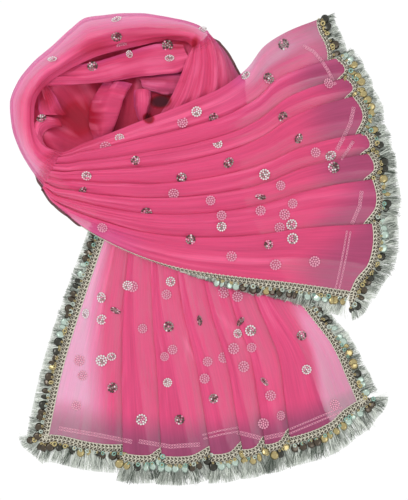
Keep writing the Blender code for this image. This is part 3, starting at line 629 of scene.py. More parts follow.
CREASES = {
    "lower_panel": [
        Crease(-0.1, 0.75, 0.06, 0.05, 0.010, 0.0022), Crease(0.1, 1.1, 0.11, 0.12, 0.012, -0.0012),
        Crease(-0.1, 0.9, 0.30, 0.31, 0.009, 0.0020), Crease(0.2, 1.1, 0.50, 0.49, 0.009, 0.0016),
        Crease(-0.1, 0.7, 0.88, 0.90, 0.012, 0.0022), Crease(0.3, 1.1, 0.95, 0.94, 0.010, -0.0012),
    ],
    "upper_panel": [
        Crease(-0.1, 0.8, 0.03, 0.04, 0.010, 0.0022), Crease(-0.1, 0.6, 0.09, 0.07, 0.009, -0.0012),
        Crease(-0.1, 0.9, 0.42, 0.43, 0.009, 0.0022), Crease(-0.1, 0.7, 0.86, 0.86, 0.012, 0.0026),
        Crease(0.1, 1.1, 0.92, 0.91, 0.012, -0.0016), Crease(-0.1, 0.9, 0.97, 0.96, 0.010, 0.0018),
    ],
    "loop_stretch": [
        Crease(0.0, 0.5, 0.15, 0.4, 0.006, 0.0016), Crease(0.2, 0.8, 0.6, 0.35, 0.007, -0.0012),
        Crease(0.4, 1.0, 0.25, 0.3, 0.006, 0.0014), Crease(0.1, 0.6, 0.75, 0.7, 0.007, 0.0014),
    ],
}
GATHERS = {
    "lower_panel": Gathers(46, 0.0011, 0.3, 1.1, 0),
    "upper_panel": Gathers(54, 0.0016, 0.2, 1.0, 0),
    "loop_stretch": Gathers(6, 0.0009, 0.6, 1.4, 0),
    "rising_stretch": Gathers(26, 0.0013, 0.5, 1.3, 1),
}
FEW_GATHERS = Gathers(9, 0.0009, 0.5, 1.2, 0)
# The net inside the loop is crumpled this much more.
INSIDE_LOOP = ("inner_band", "inner_bridge", "inner_crescent", "inner_petal", "inner_roll", "left_flap")
INSIDE_DEPTH = 1.7
# The height at which a fold catches the most light.
FULL_FOLD = 0.0016
# The pleats at an end of the stole, and how far their hems bow outward.
Pleats = namedtuple("Pleats", "count bow")
PLEATS = {"lower_panel": Pleats(7, 0.003), "upper_panel": Pleats(8, 0.008)}

# Spots of painted shade, at places that look down into the heap, in the photograph's pixels. Depth 1 paints
# the net deep red and 2 maroon.
Hollow = namedtuple("Hollow", "pixel_x pixel_y reach_x reach_y turn depth")
SHADE_SPOTS = [
    Hollow(78, 118, 25, 25, 0.0, 1.25),
    Hollow(46, 96, 9, 14, 0.0, 0.8),
    Hollow(94, 47, 18, 7, -0.3, 0.6),
    Hollow(150, 32, 44, 7, -0.05, 0.45),
    Hollow(165, 38, 30, 4, -0.1, 0.6),
    Hollow(180, 44, 14, 5, -0.2, 0.9),
    Hollow(194, 42, 4, 7, 0.3, 1.2),
    Hollow(160, 101, 11, 7, -0.1, 2.0),
    Hollow(148, 118, 6, 5, 0.6, 1.6),
    Hollow(89, 108, 6, 20, 0.2, 0.5),
    Hollow(60, 150, 24, 4, -0.4, 0.4),
    Hollow(150, 78, 36, 3, 0.1, 0.4),
]


def seen_at(points):
    """Where the camera sees these points, in the photograph's pixels."""
    nearer = VIEW_HEIGHT / (VIEW_HEIGHT - points[..., 2])
    x = (points[..., 0] - VIEW_X) * nearer / PIXEL + PHOTO_WIDTH / 2 - 0.5
    y = PHOTO_HEIGHT / 2 - 0.5 - (points[..., 1] - VIEW_Y) * nearer / PIXEL
    return x, y


# The painted shade of the spots at these points, the deepest spot at each point.
def painted_shade_at(points):
    x, y = seen_at(points)
    depth = np.zeros(x.shape)
    for h in SHADE_SPOTS:
        away_x, away_y = x - h.pixel_x, y - h.pixel_y
        a = (away_x * math.cos(h.turn) + away_y * math.sin(h.turn)) / h.reach_x
        b = (away_y * math.cos(h.turn) - away_x * math.sin(h.turn)) / h.reach_y
        depth = np.maximum(depth, h.depth * np.exp(-((a * a + b * b) ** (4 if h.depth > 1.5 else 1.5))))
    return depth


def thinness(name, grid):
    """How much less net lies together: a single layer lies at the open corners and round the loop."""
    u, v = shares(grid)
    if name == "lower_panel":
        left_width = 0.012 + 0.065 * np.clip((v - 0.3) / 0.6, 0, 1)
        left = soft((v - 0.24) / 0.12) * soft((left_width - u) / 0.06 + 0.5)
        left *= 1 - 0.5 * soft((v - 0.87) / 0.1)
        right_width = 0.02 + 0.035 * np.clip((v - 0.5) / 0.4, 0, 1)
        right = soft((v - 0.5) / 0.15) * soft((u - 1 + right_width) / 0.02 + 0.5)
        return 0.50 * left + 0.40 * right + 0.04
    if name == "upper_panel":
        top_width = 0.012 + 0.026 * soft((v - 0.5) / 0.25)
        top = soft((v - 0.60) / 0.12) * soft((top_width - u) / 0.03 + 0.5)
        wide = soft((v - 0.5) / 0.2) * soft((0.30 - u) / 0.2)
        patchy = 1 + 0.3 * np.sin(11 * v + 130 * u)
        top *= patchy * (1 - 0.45 * soft((v - 0.84) / 0.12))
        below = soft((0.42 - v) / 0.2) * soft((u - 0.84) / 0.14)
        return np.maximum(0.44 * top, 0.09 * wide + 0.06 * soft((v - 0.8) / 0.2) + 0.30 * below)
    if name == "loop_stretch":
        width = 0.036 + 0.024 * soft((v - 0.1) / 0.2) * soft((0.8 - v) / 0.2)
        return 0.57 * soft((width - from_outline(grid)) / width) * soft(v / 0.06)
    if name == "rising_stretch":
        return 0.34 * soft((0.014 - from_outline(grid)) / 0.012) * soft((u - 0.4) / 0.2)
    if name in ("inner_bridge", "inner_band", "inner_petal", "inner_crescent", "left_flap"):
        return 0.34 * soft((np.abs(u - 0.5) - 0.28) / 0.22)
    return 0 * u


def from_outline(grid):
    """How far each point lies inside the outermost point of its row, seen from above."""
    outward = unit((grid[:, -1] - grid[:, 0]) * (1, 1, 0))
    reach = (grid * outward[:, None]).sum(axis=2)
    return reach.max(axis=1, keepdims=True) - reach


def dusk_and_painted_shade(name, grid):
    """How far the net darkens to mauve, partly as it does where it lies doubled over its own turned hems and
    partly as painted shade.
    """
    u, v = shares(grid)
    if name == "lower_panel":
        side = 0.35 * soft((v - 0.6) / 0.3) * soft((u - 0.93) / 0.05)
        return np.maximum(0.92 * soft((v - 0.875) / 0.10), side)
    if name == "upper_panel":
        hem = 0.72 * soft((v - 0.84 - 0.05 * np.sin(31 * u)) / 0.14)
        return np.maximum(hem, 0.45 * soft((v - 0.6) / 0.3) * soft((0.07 - u) / 0.04))
    if name == "loop_stretch":
        return 0.2 * soft((0.008 - from_outline(grid)) / 0.008)
    if name == "rising_stretch":
        return 0.5 * soft((u - 0.5) / 0.3)
    if name == "inner_bridge":
        return 0.35 + 0 * u
    return 0 * u


# A stretch once made: its object, its points with and without creases, how its lace splays, and its trim.
Sheet = namedtuple("Sheet", "stretch made grid smooth splay shown trim")


def make_stretch(stretch, before):
    name = stretch.node
    coarse = wall_grid(name, stretch.columns, stretch.first, stretch.last)
    grid, places = refined(coarse, stretch.spacing)
    splay, shown = np.zeros(grid.shape[1]), np.ones(grid.shape[1])
    if name in PLEATS:
        across, splay, shown = pleat_faces(places, grid[-1], PLEATS[name].count)
        grid = rounded_hem(grid, across, PLEATS[name].bow)
    if before:
        grid = joined(before.smooth, grid)
    smooth = grid
    depth = INSIDE_DEPTH if name in INSIDE_LOOP else 1.0
    grid, lift = creased(grid, CREASES.get(name, []), stretch.extra, GATHERS.get(name, FEW_GATHERS), depth)
    made = piece(name + "_net", grid, grid_faces(*grid.shape[:2]), [NET])
    add_map(made, *measured(grid))
    appears = np.clip(np.arange(len(grid)) / OVERLAP, 0, 1) if before else np.ones(len(grid))
    mark(
        made,
        closeness=stretch.closeness - thinness(name, grid),
        # Painted shade, deep red where the net lies down in the heap.
        hollow=np.maximum(stretch.hollow, painted_shade_at(grid)),
        dusk=dusk_and_painted_shade(name, grid),
        # Painted light and shade of the creases and gathers.
        fold=np.clip(lift / FULL_FOLD, -1, 1),
        presence=np.repeat(appears, grid.shape[1]),
    )
    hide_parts(name)
    return Sheet(stretch, made, grid, smooth, splay, shown, [])


def make_core():
    """The bunched net of the hidden layers: the core's upper side, crumpled along its ridges."""
    bm = bmesh.new()
    bm.from_mesh(frame["nodes"]["heap_core"].data)
    bmesh.ops.remove_doubles(bm, verts=bm.verts, dist=MERGE)
    below = [face for face in bm.faces if face.calc_center_median().z < 1e-4]
    bmesh.ops.delete(bm, geom=below, context="FACES")
    bmesh.ops.subdivide_edges(bm, edges=bm.edges, cuts=4, use_grid_fill=True)
    for _ in range(3):
        inside = [vert for vert in bm.verts if not vert.is_boundary]
        bmesh.ops.smooth_vert(bm, verts=inside, factor=0.5, use_axis_x=True, use_axis_y=True, use_axis_z=True)
    bm.normal_update()
    points = np.array([vert.co for vert in bm.verts])
    normals = np.array([vert.normal for vert in bm.verts])
    inner = np.array([not vert.is_boundary for vert in bm.verts])
    bm.verts.index_update()
    faces = [[vert.index for vert in face.verts] for face in bm.faces]
    bm.free()
    swirl = points[:, :2] - GATHER_PLACE
    angle, reach = np.arctan2(swirl[:, 0], swirl[:, 1]), np.linalg.norm(swirl, axis=1)
    folds = np.sin(angle * 9 + reach * 40) * 0.5 + np.sin(angle * 17 - reach * 70 + 1.3) * 0.3
    folds += np.sin(angle * 38 + reach * 30 + 1.6 * np.sin(angle * 7)) * 0.45 * np.sin(angle * 5 + 0.8) ** 2
    folds *= soft((reach - 0.05) / 0.08)
    points += normals * ((0.0021 * folds - 0.0014) * inner)[:, None]
    points[:, 2] = np.maximum(points[:, 2], FLOOR_CLEAR * 0.5)
    made = piece("bunched_net", points, faces, [NET])
    add_map(made, angle * 0.1, reach)
    # Painted shade: the bunched net is painted darker the lower it lies.
    painted_shade_lower_down = np.clip(0.85 - points[:, 2] / 0.08, 0.3, 0.8)
    mark(
        made,
        closeness=np.full(len(points), 1.0),
        hollow=np.maximum(painted_shade_lower_down, painted_shade_at(points)),
        dusk=np.zeros(len(points)),
        # Painted light and shade of the crumpled folds.
        fold=folds * 1.1,
        presence=soft((CORE_END - points[:, 0]) / CORE_FADE),
    )
    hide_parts("heap_core")
    return made


# Lace: braid, beads, sequins and fringe

BRAID_WIDTH = 0.015
LINK_PITCH = 0.0074
LINK_ROWS = (0.2, 0.64)
LINK_LONG = 0.0040
LINK_WIDE = 0.0023
LINK_LIFT = 0.0011
DISC_PITCH = 0.0130
DISC_RADIUS = 0.0079
WASHER_PITCH = 0.015
WASHER_RADIUS = 0.0030
RING_RADIUS = 0.0017
STRAND_PITCH = 0.00033
STRAND_THICK = 0.00038
STRANDS_IN_TUFT = 14
HAZE_PITCH = 0.003
EDGE_WIDTH = 0.0046
CORD_WIDTH = 0.0011

# shown is 1 where the lace is in view and 0 where it goes under the next pleat.
Run = namedtuple("Run", "name node edge outward lift widths fringe shown")


def at_distance(run, spacing, jitter=0.0, past=BRAID_WIDTH):
    """Places along a run, this far apart at a distance past its edge, and what the run is like there."""
    gaps = np.linalg.norm(np.diff(run.edge + run.outward * past, axis=0), axis=1)
    walked_so_far = np.concatenate([[0], np.cumsum(gaps)])
    places = np.arange(spacing / 2, walked_so_far[-1], spacing)
    places = places + rng.uniform(-jitter, jitter, len(places)) * spacing

    def read(values):
        values = np.asarray(values)
        if values.ndim == 1:
            return np.interp(places, walked_so_far, values)
        return np.stack([np.interp(places, walked_so_far, values[:, i]) for i in range(3)], axis=1)

    outward, lift = unit(read(run.outward)), unit(read(run.lift))
    return read(run.edge), outward, lift, read(run.widths), read(run.fringe), read(run.shown)


def many(shape_points, shape_faces, centres, axes):
    """Copies of one small shape: axes holds three vectors for each copy, and the shape is in those units."""
    points = np.einsum("pk,ckx->cpx", shape_points, axes) + centres[:, None]
    offsets = np.arange(len(centres))[:, None, None] * len(shape_points)
    faces = (np.asarray(shape_faces)[None] + offsets).reshape(-1, len(shape_faces[0]))
    return points.reshape(-1, 3), faces


def ring_shape(around, sides, tube):
    """A ring in the first two axes with a round section: its points and faces."""
    a = np.arange(around) * 2 * math.pi / around
    b = np.arange(sides) * 2 * math.pi / sides
    a, b = (v.ravel() for v in np.meshgrid(a, b, indexing="ij"))
    reach = 1 + tube * np.cos(b)
    points = np.stack([reach * np.cos(a), reach * np.sin(a), tube * np.sin(b)], axis=1)
    faces = []
    for i in range(around):
        for j in range(sides):
            i2, j2 = (i + 1) % around, (j + 1) % sides
            faces.append([i * sides + j, i2 * sides + j, i2 * sides + j2, i * sides + j2])
    return points, faces


def dome_shape(around, rise, thickness):
    """A thin round foil, a little cupped, closed on both sides: its points and faces of three."""
    a = np.arange(around) * 2 * math.pi / around
    rim = np.stack([np.cos(a), np.sin(a), 0 * a], axis=1)
    points = [(0, 0, rise)] + (rim * 0.55 + (0, 0, rise * 0.7)).tolist() + rim.tolist()
    points += [(0, 0, rise - thickness)]
    faces = []
    for i in range(around):
        j = (i + 1) % around
        inner, inner_next, outer, outer_next = 1 + i, 1 + j, 1 + around + i, 1 + around + j
        faces += [[0, inner, inner_next], [inner, outer, outer_next], [inner, outer_next, inner_next]]
        faces.append([outer_next, outer, 1 + 2 * around])
    return np.array(points, float), faces


def make_braid(run):
    """The tape, a fine cord along its inner rim, and two rows of chain links on it."""
    steps = np.linspace(-0.04, 1, 6)[:, None, None]
    tape = run.edge + run.outward * run.widths[:, None] * steps + run.lift * 0.0003
    tape[..., 2] = np.maximum(tape[..., 2], FLOOR_CLEAR)
    points, faces = [tape.reshape(-1, 3)], [grid_faces(*tape.shape[:2])]
    count, chosen = len(points[0]), [np.zeros(len(faces[0]), int)]
    cord = np.stack([run.edge + run.outward * CORD_WIDTH * (a - 0.4) + run.lift * CORD_WIDTH * (0.5 + b)
                     for a, b in ((0, 0), (0.3, 0.5), (0.7, 0.5), (1, 0))])
    cord[..., 2] = np.maximum(cord[..., 2], FLOOR_CLEAR)
    points.append(cord.reshape(-1, 3))
    faces.append(grid_faces(*cord.shape[:2]) + count)
    chosen.append(np.ones(len(faces[-1]), int))
    count += len(points[-1])
    shape, shape_faces = ring_shape(10, 4, 0.24)
    for row, share in enumerate(LINK_ROWS):
        edge, outward, lift, widths, _, _ = at_distance(run, LINK_PITCH, 0.08)
        along = unit(np.cross(lift, outward))
        tilt = 0.8 if row == 0 else -0.8
        centres = edge + outward * (widths * share)[:, None] + lift * LINK_LIFT
        centres[:, 2] = np.maximum(centres[:, 2], FLOOR_CLEAR + 0.0006)
        size = (widths / BRAID_WIDTH)[:, None]
        long_axis = unit(along + outward * tilt) * LINK_LONG
        wide_axis = unit(outward - along * tilt) * LINK_WIDE * size
        axes = np.stack([long_axis, wide_axis, lift * LINK_WIDE * size], axis=1)
        found, found_faces = many(shape, shape_faces, centres, axes)
        points.append(found)
        faces.append(found_faces + count)
        chosen.append(np.ones(len(found_faces), int))
        count += len(found)
    points, faces, chosen = (np.concatenate(parts) for parts in (points, faces, chosen))
    return piece(run.name + "_braid", points, faces, [TAPE, BRAID], chosen)


def hanging(run, pitch, jitter, down, wobble):
    """Places for sequins along a run: centres this far past the braid's rim, and axes that swing a little."""
    edge, outward, lift, widths, _, shown = at_distance(run, pitch, jitter)
    full = (widths > 0.009) & (shown > 0.9)
    edge, outward, lift, widths = edge[full], outward[full], lift[full], widths[full]
    count = len(edge)
    along = unit(np.cross(lift, outward))
    hang = unit(outward * (1, 1, 0.3) + along * rng.normal(0, wobble, (count, 1)))
    level = unit(lift + (0, 0, 1.5))
    up = unit(level + hang * rng.normal(0, wobble, (count, 1)) + along * rng.normal(0, wobble, (count, 1)))
    side = unit(np.cross(up, hang))
    hang = np.cross(side, up)
    centres = edge + outward * (widths * 0.93)[:, None] + hang * down
    centres[:, 2] = np.maximum(centres[:, 2] + 0.002, 0.0056) + rng.uniform(0, 0.0012, count)
    return centres, hang, side, up


def runs_of(count, kinds, longest):
    """Finishes in short runs of one kind, as they are threaded."""
    found = []
    while len(found) < count:
        found += [int(rng.choice(len(kinds), p=kinds))] * int(rng.integers(1, longest + 1))
    return np.array(found[:count])


def make_sequins(run):
    """Large sequins that hang over the fringe, each from a small ring, and smaller washers along the rim."""
    centres, hang, side, up = hanging(run, DISC_PITCH, 0.22, DISC_RADIUS * 0.85, 0.2)
    count = len(centres)
    size = DISC_RADIUS * rng.uniform(0.82, 1.05, (count, 1))
    narrow = rng.choice([1.0, 1.0, 0.9, 0.6], (count, 1))
    axes = np.stack([hang * size, side * size * narrow, up * size], axis=1)
    shape, shape_faces = dome_shape(18, 0.12, 0.04)
    points, faces = many(shape, shape_faces, centres, axes)
    kinds = runs_of(count, [0.25, 0.28, 0.15, 0.32], 4)
    kinds = np.repeat(kinds, len(shape_faces))
    discs = piece(run.name + "_sequins", points, faces, DISCS, kinds)
    size = np.full((count, 1), RING_RADIUS)
    shape, shape_faces = ring_shape(8, 4, 0.4)
    top = centres - hang * DISC_RADIUS * 0.75 + up * 0.0012
    points, faces = many(shape, shape_faces, top, np.stack([hang * size, side * size, up * size], axis=1))
    rings = piece(run.name + "_rings", points, faces, [BEAD])
    centres, hang, side, up = hanging(run, WASHER_PITCH, 0.4, WASHER_RADIUS * 0.5, 0.3)
    count = len(centres)
    size = WASHER_RADIUS * rng.uniform(0.6, 1.15, (count, 1))
    shape, shape_faces = ring_shape(12, 4, 0.5)
    axes = np.stack([hang * size, side * size, up * size * 0.4], axis=1)
    points, faces = many(shape, shape_faces, centres + up * 0.0016, axes)
    kinds = np.repeat(runs_of(count, [0.45, 0.3, 0.25], 4), len(shape_faces))
    washers = piece(run.name + "_washers", points, faces, WASHERS, kinds)
    return [discs, rings, washers]


def make_fringe(run):
    """The eyelash fringe: fine strands in uneven tufts, each tuft of its own length and lean."""
    edge, outward, lift, widths, reach, _ = at_distance(run, STRAND_PITCH, 0.5, 2 * BRAID_WIDTH)
    full = reach > 0.004
    edge, outward, lift, widths, reach = (v[full] for v in (edge, outward, lift, widths, reach))
    count = len(edge)
    along = unit(np.cross(lift, outward))
    tufts = count // STRANDS_IN_TUFT + 1
    tuft = np.repeat(rng.normal(0, 0.13, tufts), STRANDS_IN_TUFT)[:count]
    longer = np.repeat(rng.uniform(0.78, 1.06, tufts), STRANDS_IN_TUFT)[:count]
    lean = (tuft + rng.normal(0, 0.08, count))[:, None]
    length = reach * longer * rng.uniform(0.84, 1.02, count)
    bend = rng.normal(0, 0.12, (count, 1))
    steps = np.linspace(0, 1, 5)
    root = edge + outward * (widths * 0.9)[:, None]
    flat_out = unit(outward * (1, 1, 0.15))
    lines = []
    height = np.maximum(root[:, 2], 0.0018)
    arch = rng.uniform(0.0, 0.0022, count)
    for t in steps:
        line = root + (flat_out + along * (lean + bend * t)) * (length * t)[:, None]
        line[:, 2] = mix(height, rng.uniform(0.0012, 0.0026, count) if t == 1 else height * 0.6 + 0.0008, t)
        line[:, 2] += arch * 4 * t * (1 - t) + 0.0004
        lines.append(line)
    lines = np.stack(lines, axis=1)
    travel = unit(np.gradient(lines, axis=1))
    across = unit(np.cross(travel, np.broadcast_to((0, 0, 1.0), travel.shape)))
    up = np.cross(across, travel)
    thick = STRAND_THICK * rng.uniform(0.75, 1.3, (count, 1)) * mix(1.0, 0.7, steps)[None]
    rings = [lines + (across * math.cos(a) + up * math.sin(a)) * thick[..., None] for a in (0.5, 2.6, 4.7)]
    points = np.stack(rings, axis=2).reshape(count, -1, 3)
    local = []
    for k in range(len(steps) - 1):
        for s in range(3):
            s2 = (s + 1) % 3
            local.append([k * 3 + s, k * 3 + s2, k * 3 + 3 + s2, k * 3 + 3 + s])
    faces = (np.array(local)[None] + np.arange(count)[:, None, None] * points.shape[1]).reshape(-1, 4)
    made = piece(run.name + "_strands", points, faces, [FRINGE])
    tone = np.clip(rng.beta(1.1, 0.9, count) + tuft * 2.2, 0, 1)
    mark(made, tone=np.repeat(tone, points.shape[1]))
    return [made, make_haze(run)]


def make_haze(run):
    """A thin sheet under the strands that stands for the finest of them."""
    edge, outward, _, widths, reach, _ = at_distance(run, HAZE_PITCH)
    rim = edge + outward * (widths * 0.9)[:, None]
    steps = np.linspace(0, 1, 7)[:, None]
    sheet = rim[:, None] + unit(outward * (1, 1, 0.15))[:, None] * (reach[:, None, None] * steps)
    start = np.maximum(rim[:, 2], 0.0014)[:, None]
    sheet[..., 2] = mix(start, np.minimum(start * 0.5, 0.001) + 0.0006, steps[:, 0])
    made = piece(run.name + "_haze", sheet, grid_faces(*sheet.shape[:2]), [HAZE])
    along, down = np.broadcast_arrays(np.arange(len(edge))[:, None] * HAZE_PITCH, steps[:, 0][None])
    add_map(made, along, down, "strands")
    mark(made, tone=np.full(sheet.shape[:2], 0.56))
    return made


def make_lace(run):
    braid = make_braid(run)
    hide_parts(run.node)
    return [braid, *make_sequins(run), *make_fringe(run)]


# How the lace fans out at a corner: how far along the hem it has gone on, in braid widths, and its turn.
Turn = namedtuple("Turn", "onward sideways forward")
CORNER_FRINGE = 0.72
CORNER = [Turn(0.45, 0.35, 1.0), Turn(0.8, 1.0, 1.0), Turn(0.95, 1.0, 0.3)]


def hem_run(name, node, sheet, width, fringe, turns_start):
    """The run of a hem and round its corners. The lace splays out where a pleat's hem bows."""
    edge = sheet.grid[-1]
    travel = unit((edge - sheet.grid[-9]) * (1, 1, 0.2))
    sideways = np.stack([-travel[:, 1], travel[:, 0], 0 * travel[:, 0]], axis=1)
    sideways *= np.sign(sideways @ (edge[-1] - edge[0]))[:, None]
    splay = 0.32 * sheet.splay * soft(np.minimum(along_row(edge), 1 - along_row(edge)) / 0.03)
    outward = unit(travel + sideways * splay[:, None])
    lift = normals_of(sheet.grid)[-1]
    shown = sheet.shown

    def corner(end, aside):
        """The places and directions of the lace at one end of the hem, outward from it."""
        return [
            (edge[end] + aside * BRAID_WIDTH * t.onward, travel[end] * t.forward + aside * t.sideways)
            for t in CORNER
        ]

    starts = corner(0, -sideways[0])[::-1] if turns_start else []
    ends = corner(-1, sideways[-1])
    edge = np.array([place for place, _ in starts] + list(edge) + [place for place, _ in ends])
    outward = unit(np.array([way for _, way in starts] + list(outward) + [way for _, way in ends]))
    more = (len(starts), len(ends))
    lift, shown = np.pad(lift, (more, (0, 0)), mode="edge"), np.pad(shown, more, mode="edge")
    count = len(edge)
    fringe = np.linspace(*fringe, count)
    fringe[: len(starts)] *= CORNER_FRINGE
    fringe[count - len(ends) :] *= CORNER_FRINGE
    return Run(name, node, edge, outward, lift, np.linspace(*width, count), fringe, shown)


# How a side's lace changes along it: drop is 0 where it lies flat and 1 where it hangs.
Change = namedtuple("Change", "share width drop fringe")


def side_run(name, node, sheet, column, inside, first, changes):
    edge, inner = sheet.grid[first:, column], sheet.grid[first:, inside]
    share = along_row(edge)
    widths, drop, fringe = (
        np.interp(share, [c.share for c in changes], [getattr(c, fact) for c in changes])
        for fact in ("width", "drop", "fringe")
    )
    flat, own = unit((edge - inner) * (1, 1, 0.2)), unit(edge - inner)
    outward = unit(mix(flat, own - (0, 0, 1), drop[:, None]))
    lift = unit(np.cross(np.gradient(edge, axis=0), outward))
    lift = lift * np.sign(lift[:, 2:] + 1e-9)
    return Run(name, node, edge, outward, lift, widths, fringe, np.ones(len(edge)))


def make_edge(name, grid, last_row):
    """The lace of a rolled side seen edge on: a narrow strip along the outermost points of the first rows."""
    outward = unit((grid[:last_row, -1] - grid[:last_row, 0]) * (1, 1, 0))
    reach = (grid[:last_row] * outward[:, None]).sum(axis=2)
    outermost = np.argmax(reach, axis=1)
    line = grid[np.arange(last_row), outermost]
    narrow = EDGE_WIDTH * soft(along_row(line) / 0.1) * soft((1 - along_row(line)) / 0.1)
    steps = (-0.2, 0.1, 0.4, 0.7, 1.0)
    strip = np.stack([line + outward * (narrow * step)[:, None] - (0, 0, 0.002 * step) for step in steps])
    strip[1:4, :, 2] += 0.0006 * np.sin(np.arange(last_row) * 2.1)
    strip[..., 2] = np.maximum(strip[..., 2], FLOOR_CLEAR)
    return piece(name, strip, grid_faces(*strip.shape[:2]), [EDGE])


# Motifs, where the photograph shows them. look 0 is bright, 1 dark and 2 seen through net. lean is how far
# the fold that pinches the motif turns it, in degrees, so that it looks narrower.
Motif = namedtuple("Motif", "pixel_x pixel_y look lean", defaults=(0,))
MOTIF_RADIUS = 0.0102
MOTIF_PLACES = [
    Motif(52, 59, 0, 55), Motif(116, 36, 1), Motif(121, 44, 2), Motif(167, 45, 1), Motif(169, 58, 0),
    Motif(92, 66, 1), Motif(129, 54, 0, 50), Motif(66, 98, 1), Motif(79, 106, 1), Motif(84, 112, 2),
    Motif(127, 112, 0), Motif(41, 118, 1), Motif(119, 137, 0), Motif(105, 146, 2), Motif(196, 111, 0),
    Motif(182, 122, 2), Motif(213, 117, 1), Motif(135, 160, 1), Motif(86, 175, 0), Motif(181, 177, 1),
    Motif(82, 190, 1, 55), Motif(116, 19, 0, 55), Motif(202, 29, 0, 55), Motif(283, 44, 1),
    Motif(268, 78, 1), Motif(245, 75, 0, 55), Motif(328, 83, 2, 40), Motif(282, 116, 1),
    Motif(298, 138, 1, 40),
    Motif(217, 143, 0, 30), Motif(228, 162, 1, 40), Motif(264, 174, 0), Motif(330, 155, 0),
    Motif(333, 167, 1),
    Motif(315, 152, 2), Motif(280, 185, 2), Motif(221, 226, 0), Motif(190, 239, 1), Motif(268, 244, 1),
    Motif(291, 224, 0), Motif(292, 238, 0), Motif(284, 214, 2), Motif(314, 261, 2), Motif(231, 256, 2),
    Motif(275, 264, 2), Motif(210, 200, 2), Motif(146, 212, 1), Motif(102, 227, 2), Motif(173, 193, 2),
    Motif(221, 215, 2), Motif(292, 203, 2), Motif(260, 210, 2), Motif(279, 227, 2), Motif(260, 196, 1, 60),
    Motif(301, 335, 1), Motif(237, 333, 0), Motif(250, 330, 0), Motif(306, 369, 0), Motif(213, 398, 1),
    Motif(204, 378, 2), Motif(223, 292, 2), Motif(237, 296, 2), Motif(233, 348, 2), Motif(251, 347, 2),
    Motif(223, 357, 2), Motif(243, 366, 2), Motif(264, 381, 1, 60), Motif(207, 361, 2), Motif(127, 285, 0),
    Motif(132, 286, 2), Motif(170, 281, 0), Motif(166, 294, 2), Motif(101, 297, 0, 30), Motif(101, 319, 0),
    Motif(85, 313, 0, 50), Motif(142, 328, 2), Motif(168, 326, 1), Motif(101, 360, 0), Motif(111, 356, 0, 30),
    Motif(79, 360, 2), Motif(112, 387, 1), Motif(167, 382, 0), Motif(76, 405, 2), Motif(141, 419, 0),
    Motif(179, 419, 1), Motif(263, 423, 2), Motif(280, 415, 2), Motif(334, 404, 2), Motif(270, 395, 2),
    Motif(164, 356, 2), Motif(172, 349, 2), Motif(82, 375, 2), Motif(115, 310, 1, 60), Motif(199, 320, 1, 60),
    Motif(240, 321, 1, 60),
]


# Lace of the layers beneath that shows through the net: rows of places in the photograph's pixels.
Trail = namedtuple("Trail", "places half_width")
TRAILS = [
    Trail([(304, 46), (313, 51), (321, 60), (328, 71), (334, 83)], 0.8),
    Trail([(353, 108), (350, 122), (343, 137), (337, 148)], 1.0),
    Trail([(352, 142), (347, 150), (341, 158)], 0.8),
    Trail([(361, 192), (359, 206), (352, 222)], 1.0),
    Trail([(348, 232), (345, 250), (341, 270), (337, 288)], 1.8),
    Trail([(204, 436), (220, 432), (237, 429)], 2.0),
    Trail([(238, 432), (262, 438), (285, 433)], 1.2),
    Trail([(289, 431), (315, 420), (341, 409)], 2.0),
    Trail([(60, 428), (95, 434), (130, 441)], 1.2),
    Trail([(140, 441), (170, 446), (198, 444)], 1.2),
]
RING_COUNTS = ((6, 0.42, 0.0), (12, 0.80, 0.26))


def rosette_shape():
    """A round motif of small sequins: one in the middle and two rings round it."""
    foil, foil_faces = dome_shape(7, 0.3, 0.08)
    centres, tilts = [(0, 0, 0.05)], [(0, 0)]
    for number, reach, start in RING_COUNTS:
        for i in range(number):
            a = start + i * 2 * math.pi / number
            centres.append((reach * math.cos(a), reach * math.sin(a), 0.02))
            tilts.append((math.cos(a), math.sin(a)))
    size, points = 0.205, []
    for centre, (x, y) in zip(centres, tilts):
        spot = foil * size
        spot[:, 2] += 0.25 * (spot[:, 0] * x + spot[:, 1] * y)
        points.append(spot + centre)
    faces = [[v + n * len(foil) for v in face] for n in range(len(points)) for face in foil_faces]
    return np.concatenate(points), faces, len(foil_faces)


def motif_finishes(look):
    """A finish for each sequin of a motif: bright ones have a bright rim, and dark ones a few glints."""
    inner, outer = (number for number, _, _ in RING_COUNTS)
    if look == 2:
        return np.full(1 + inner + outer, 2)
    if look == 0:
        middle = rng.choice([0, 1, 2], 1 + inner, p=[0.55, 0.25, 0.2])
        return np.concatenate([middle, rng.choice([0, 1], outer, p=[0.94, 0.06])])
    middle = rng.choice([0, 1, 2, 3], 1 + inner, p=[0.16, 0.42, 0.12, 0.30])
    return np.concatenate([middle, rng.choice([0, 1, 2, 3], outer, p=[0.08, 0.32, 0.25, 0.35])])


class View:
    """What the camera sees of the sheets at a place of the photograph."""

    def __init__(self, sheets):
        self.sheets = sheets
        self.trees = [BVHTree.FromPolygons(sheet.grid.reshape(-1, 3).tolist(),
                                           grid_faces(*sheet.grid.shape[:2]).tolist()) for sheet in sheets]

    def seen(self, pixel_x, pixel_y):
        """The sheet, place and normal of the top layer."""
        x = VIEW_X + (pixel_x + 0.5 - PHOTO_WIDTH / 2) * PIXEL
        y = VIEW_Y + (PHOTO_HEIGHT / 2 - pixel_y - 0.5) * PIXEL
        eye = Vector((VIEW_X, VIEW_Y, VIEW_HEIGHT))
        ray = (Vector((x, y, 0)) - eye).normalized()
        hits = []
        for number, tree in enumerate(self.trees):
            place, normal, _, _ = tree.ray_cast(eye, ray)
            if place:
                hits.append((-place.z, number, place, normal if normal.z > 0 else -normal))
        if not hits:
            return None
        _, number, place, normal = min(hits, key=lambda hit: hit[0])
        return self.sheets[number], np.array(place), np.array(normal)


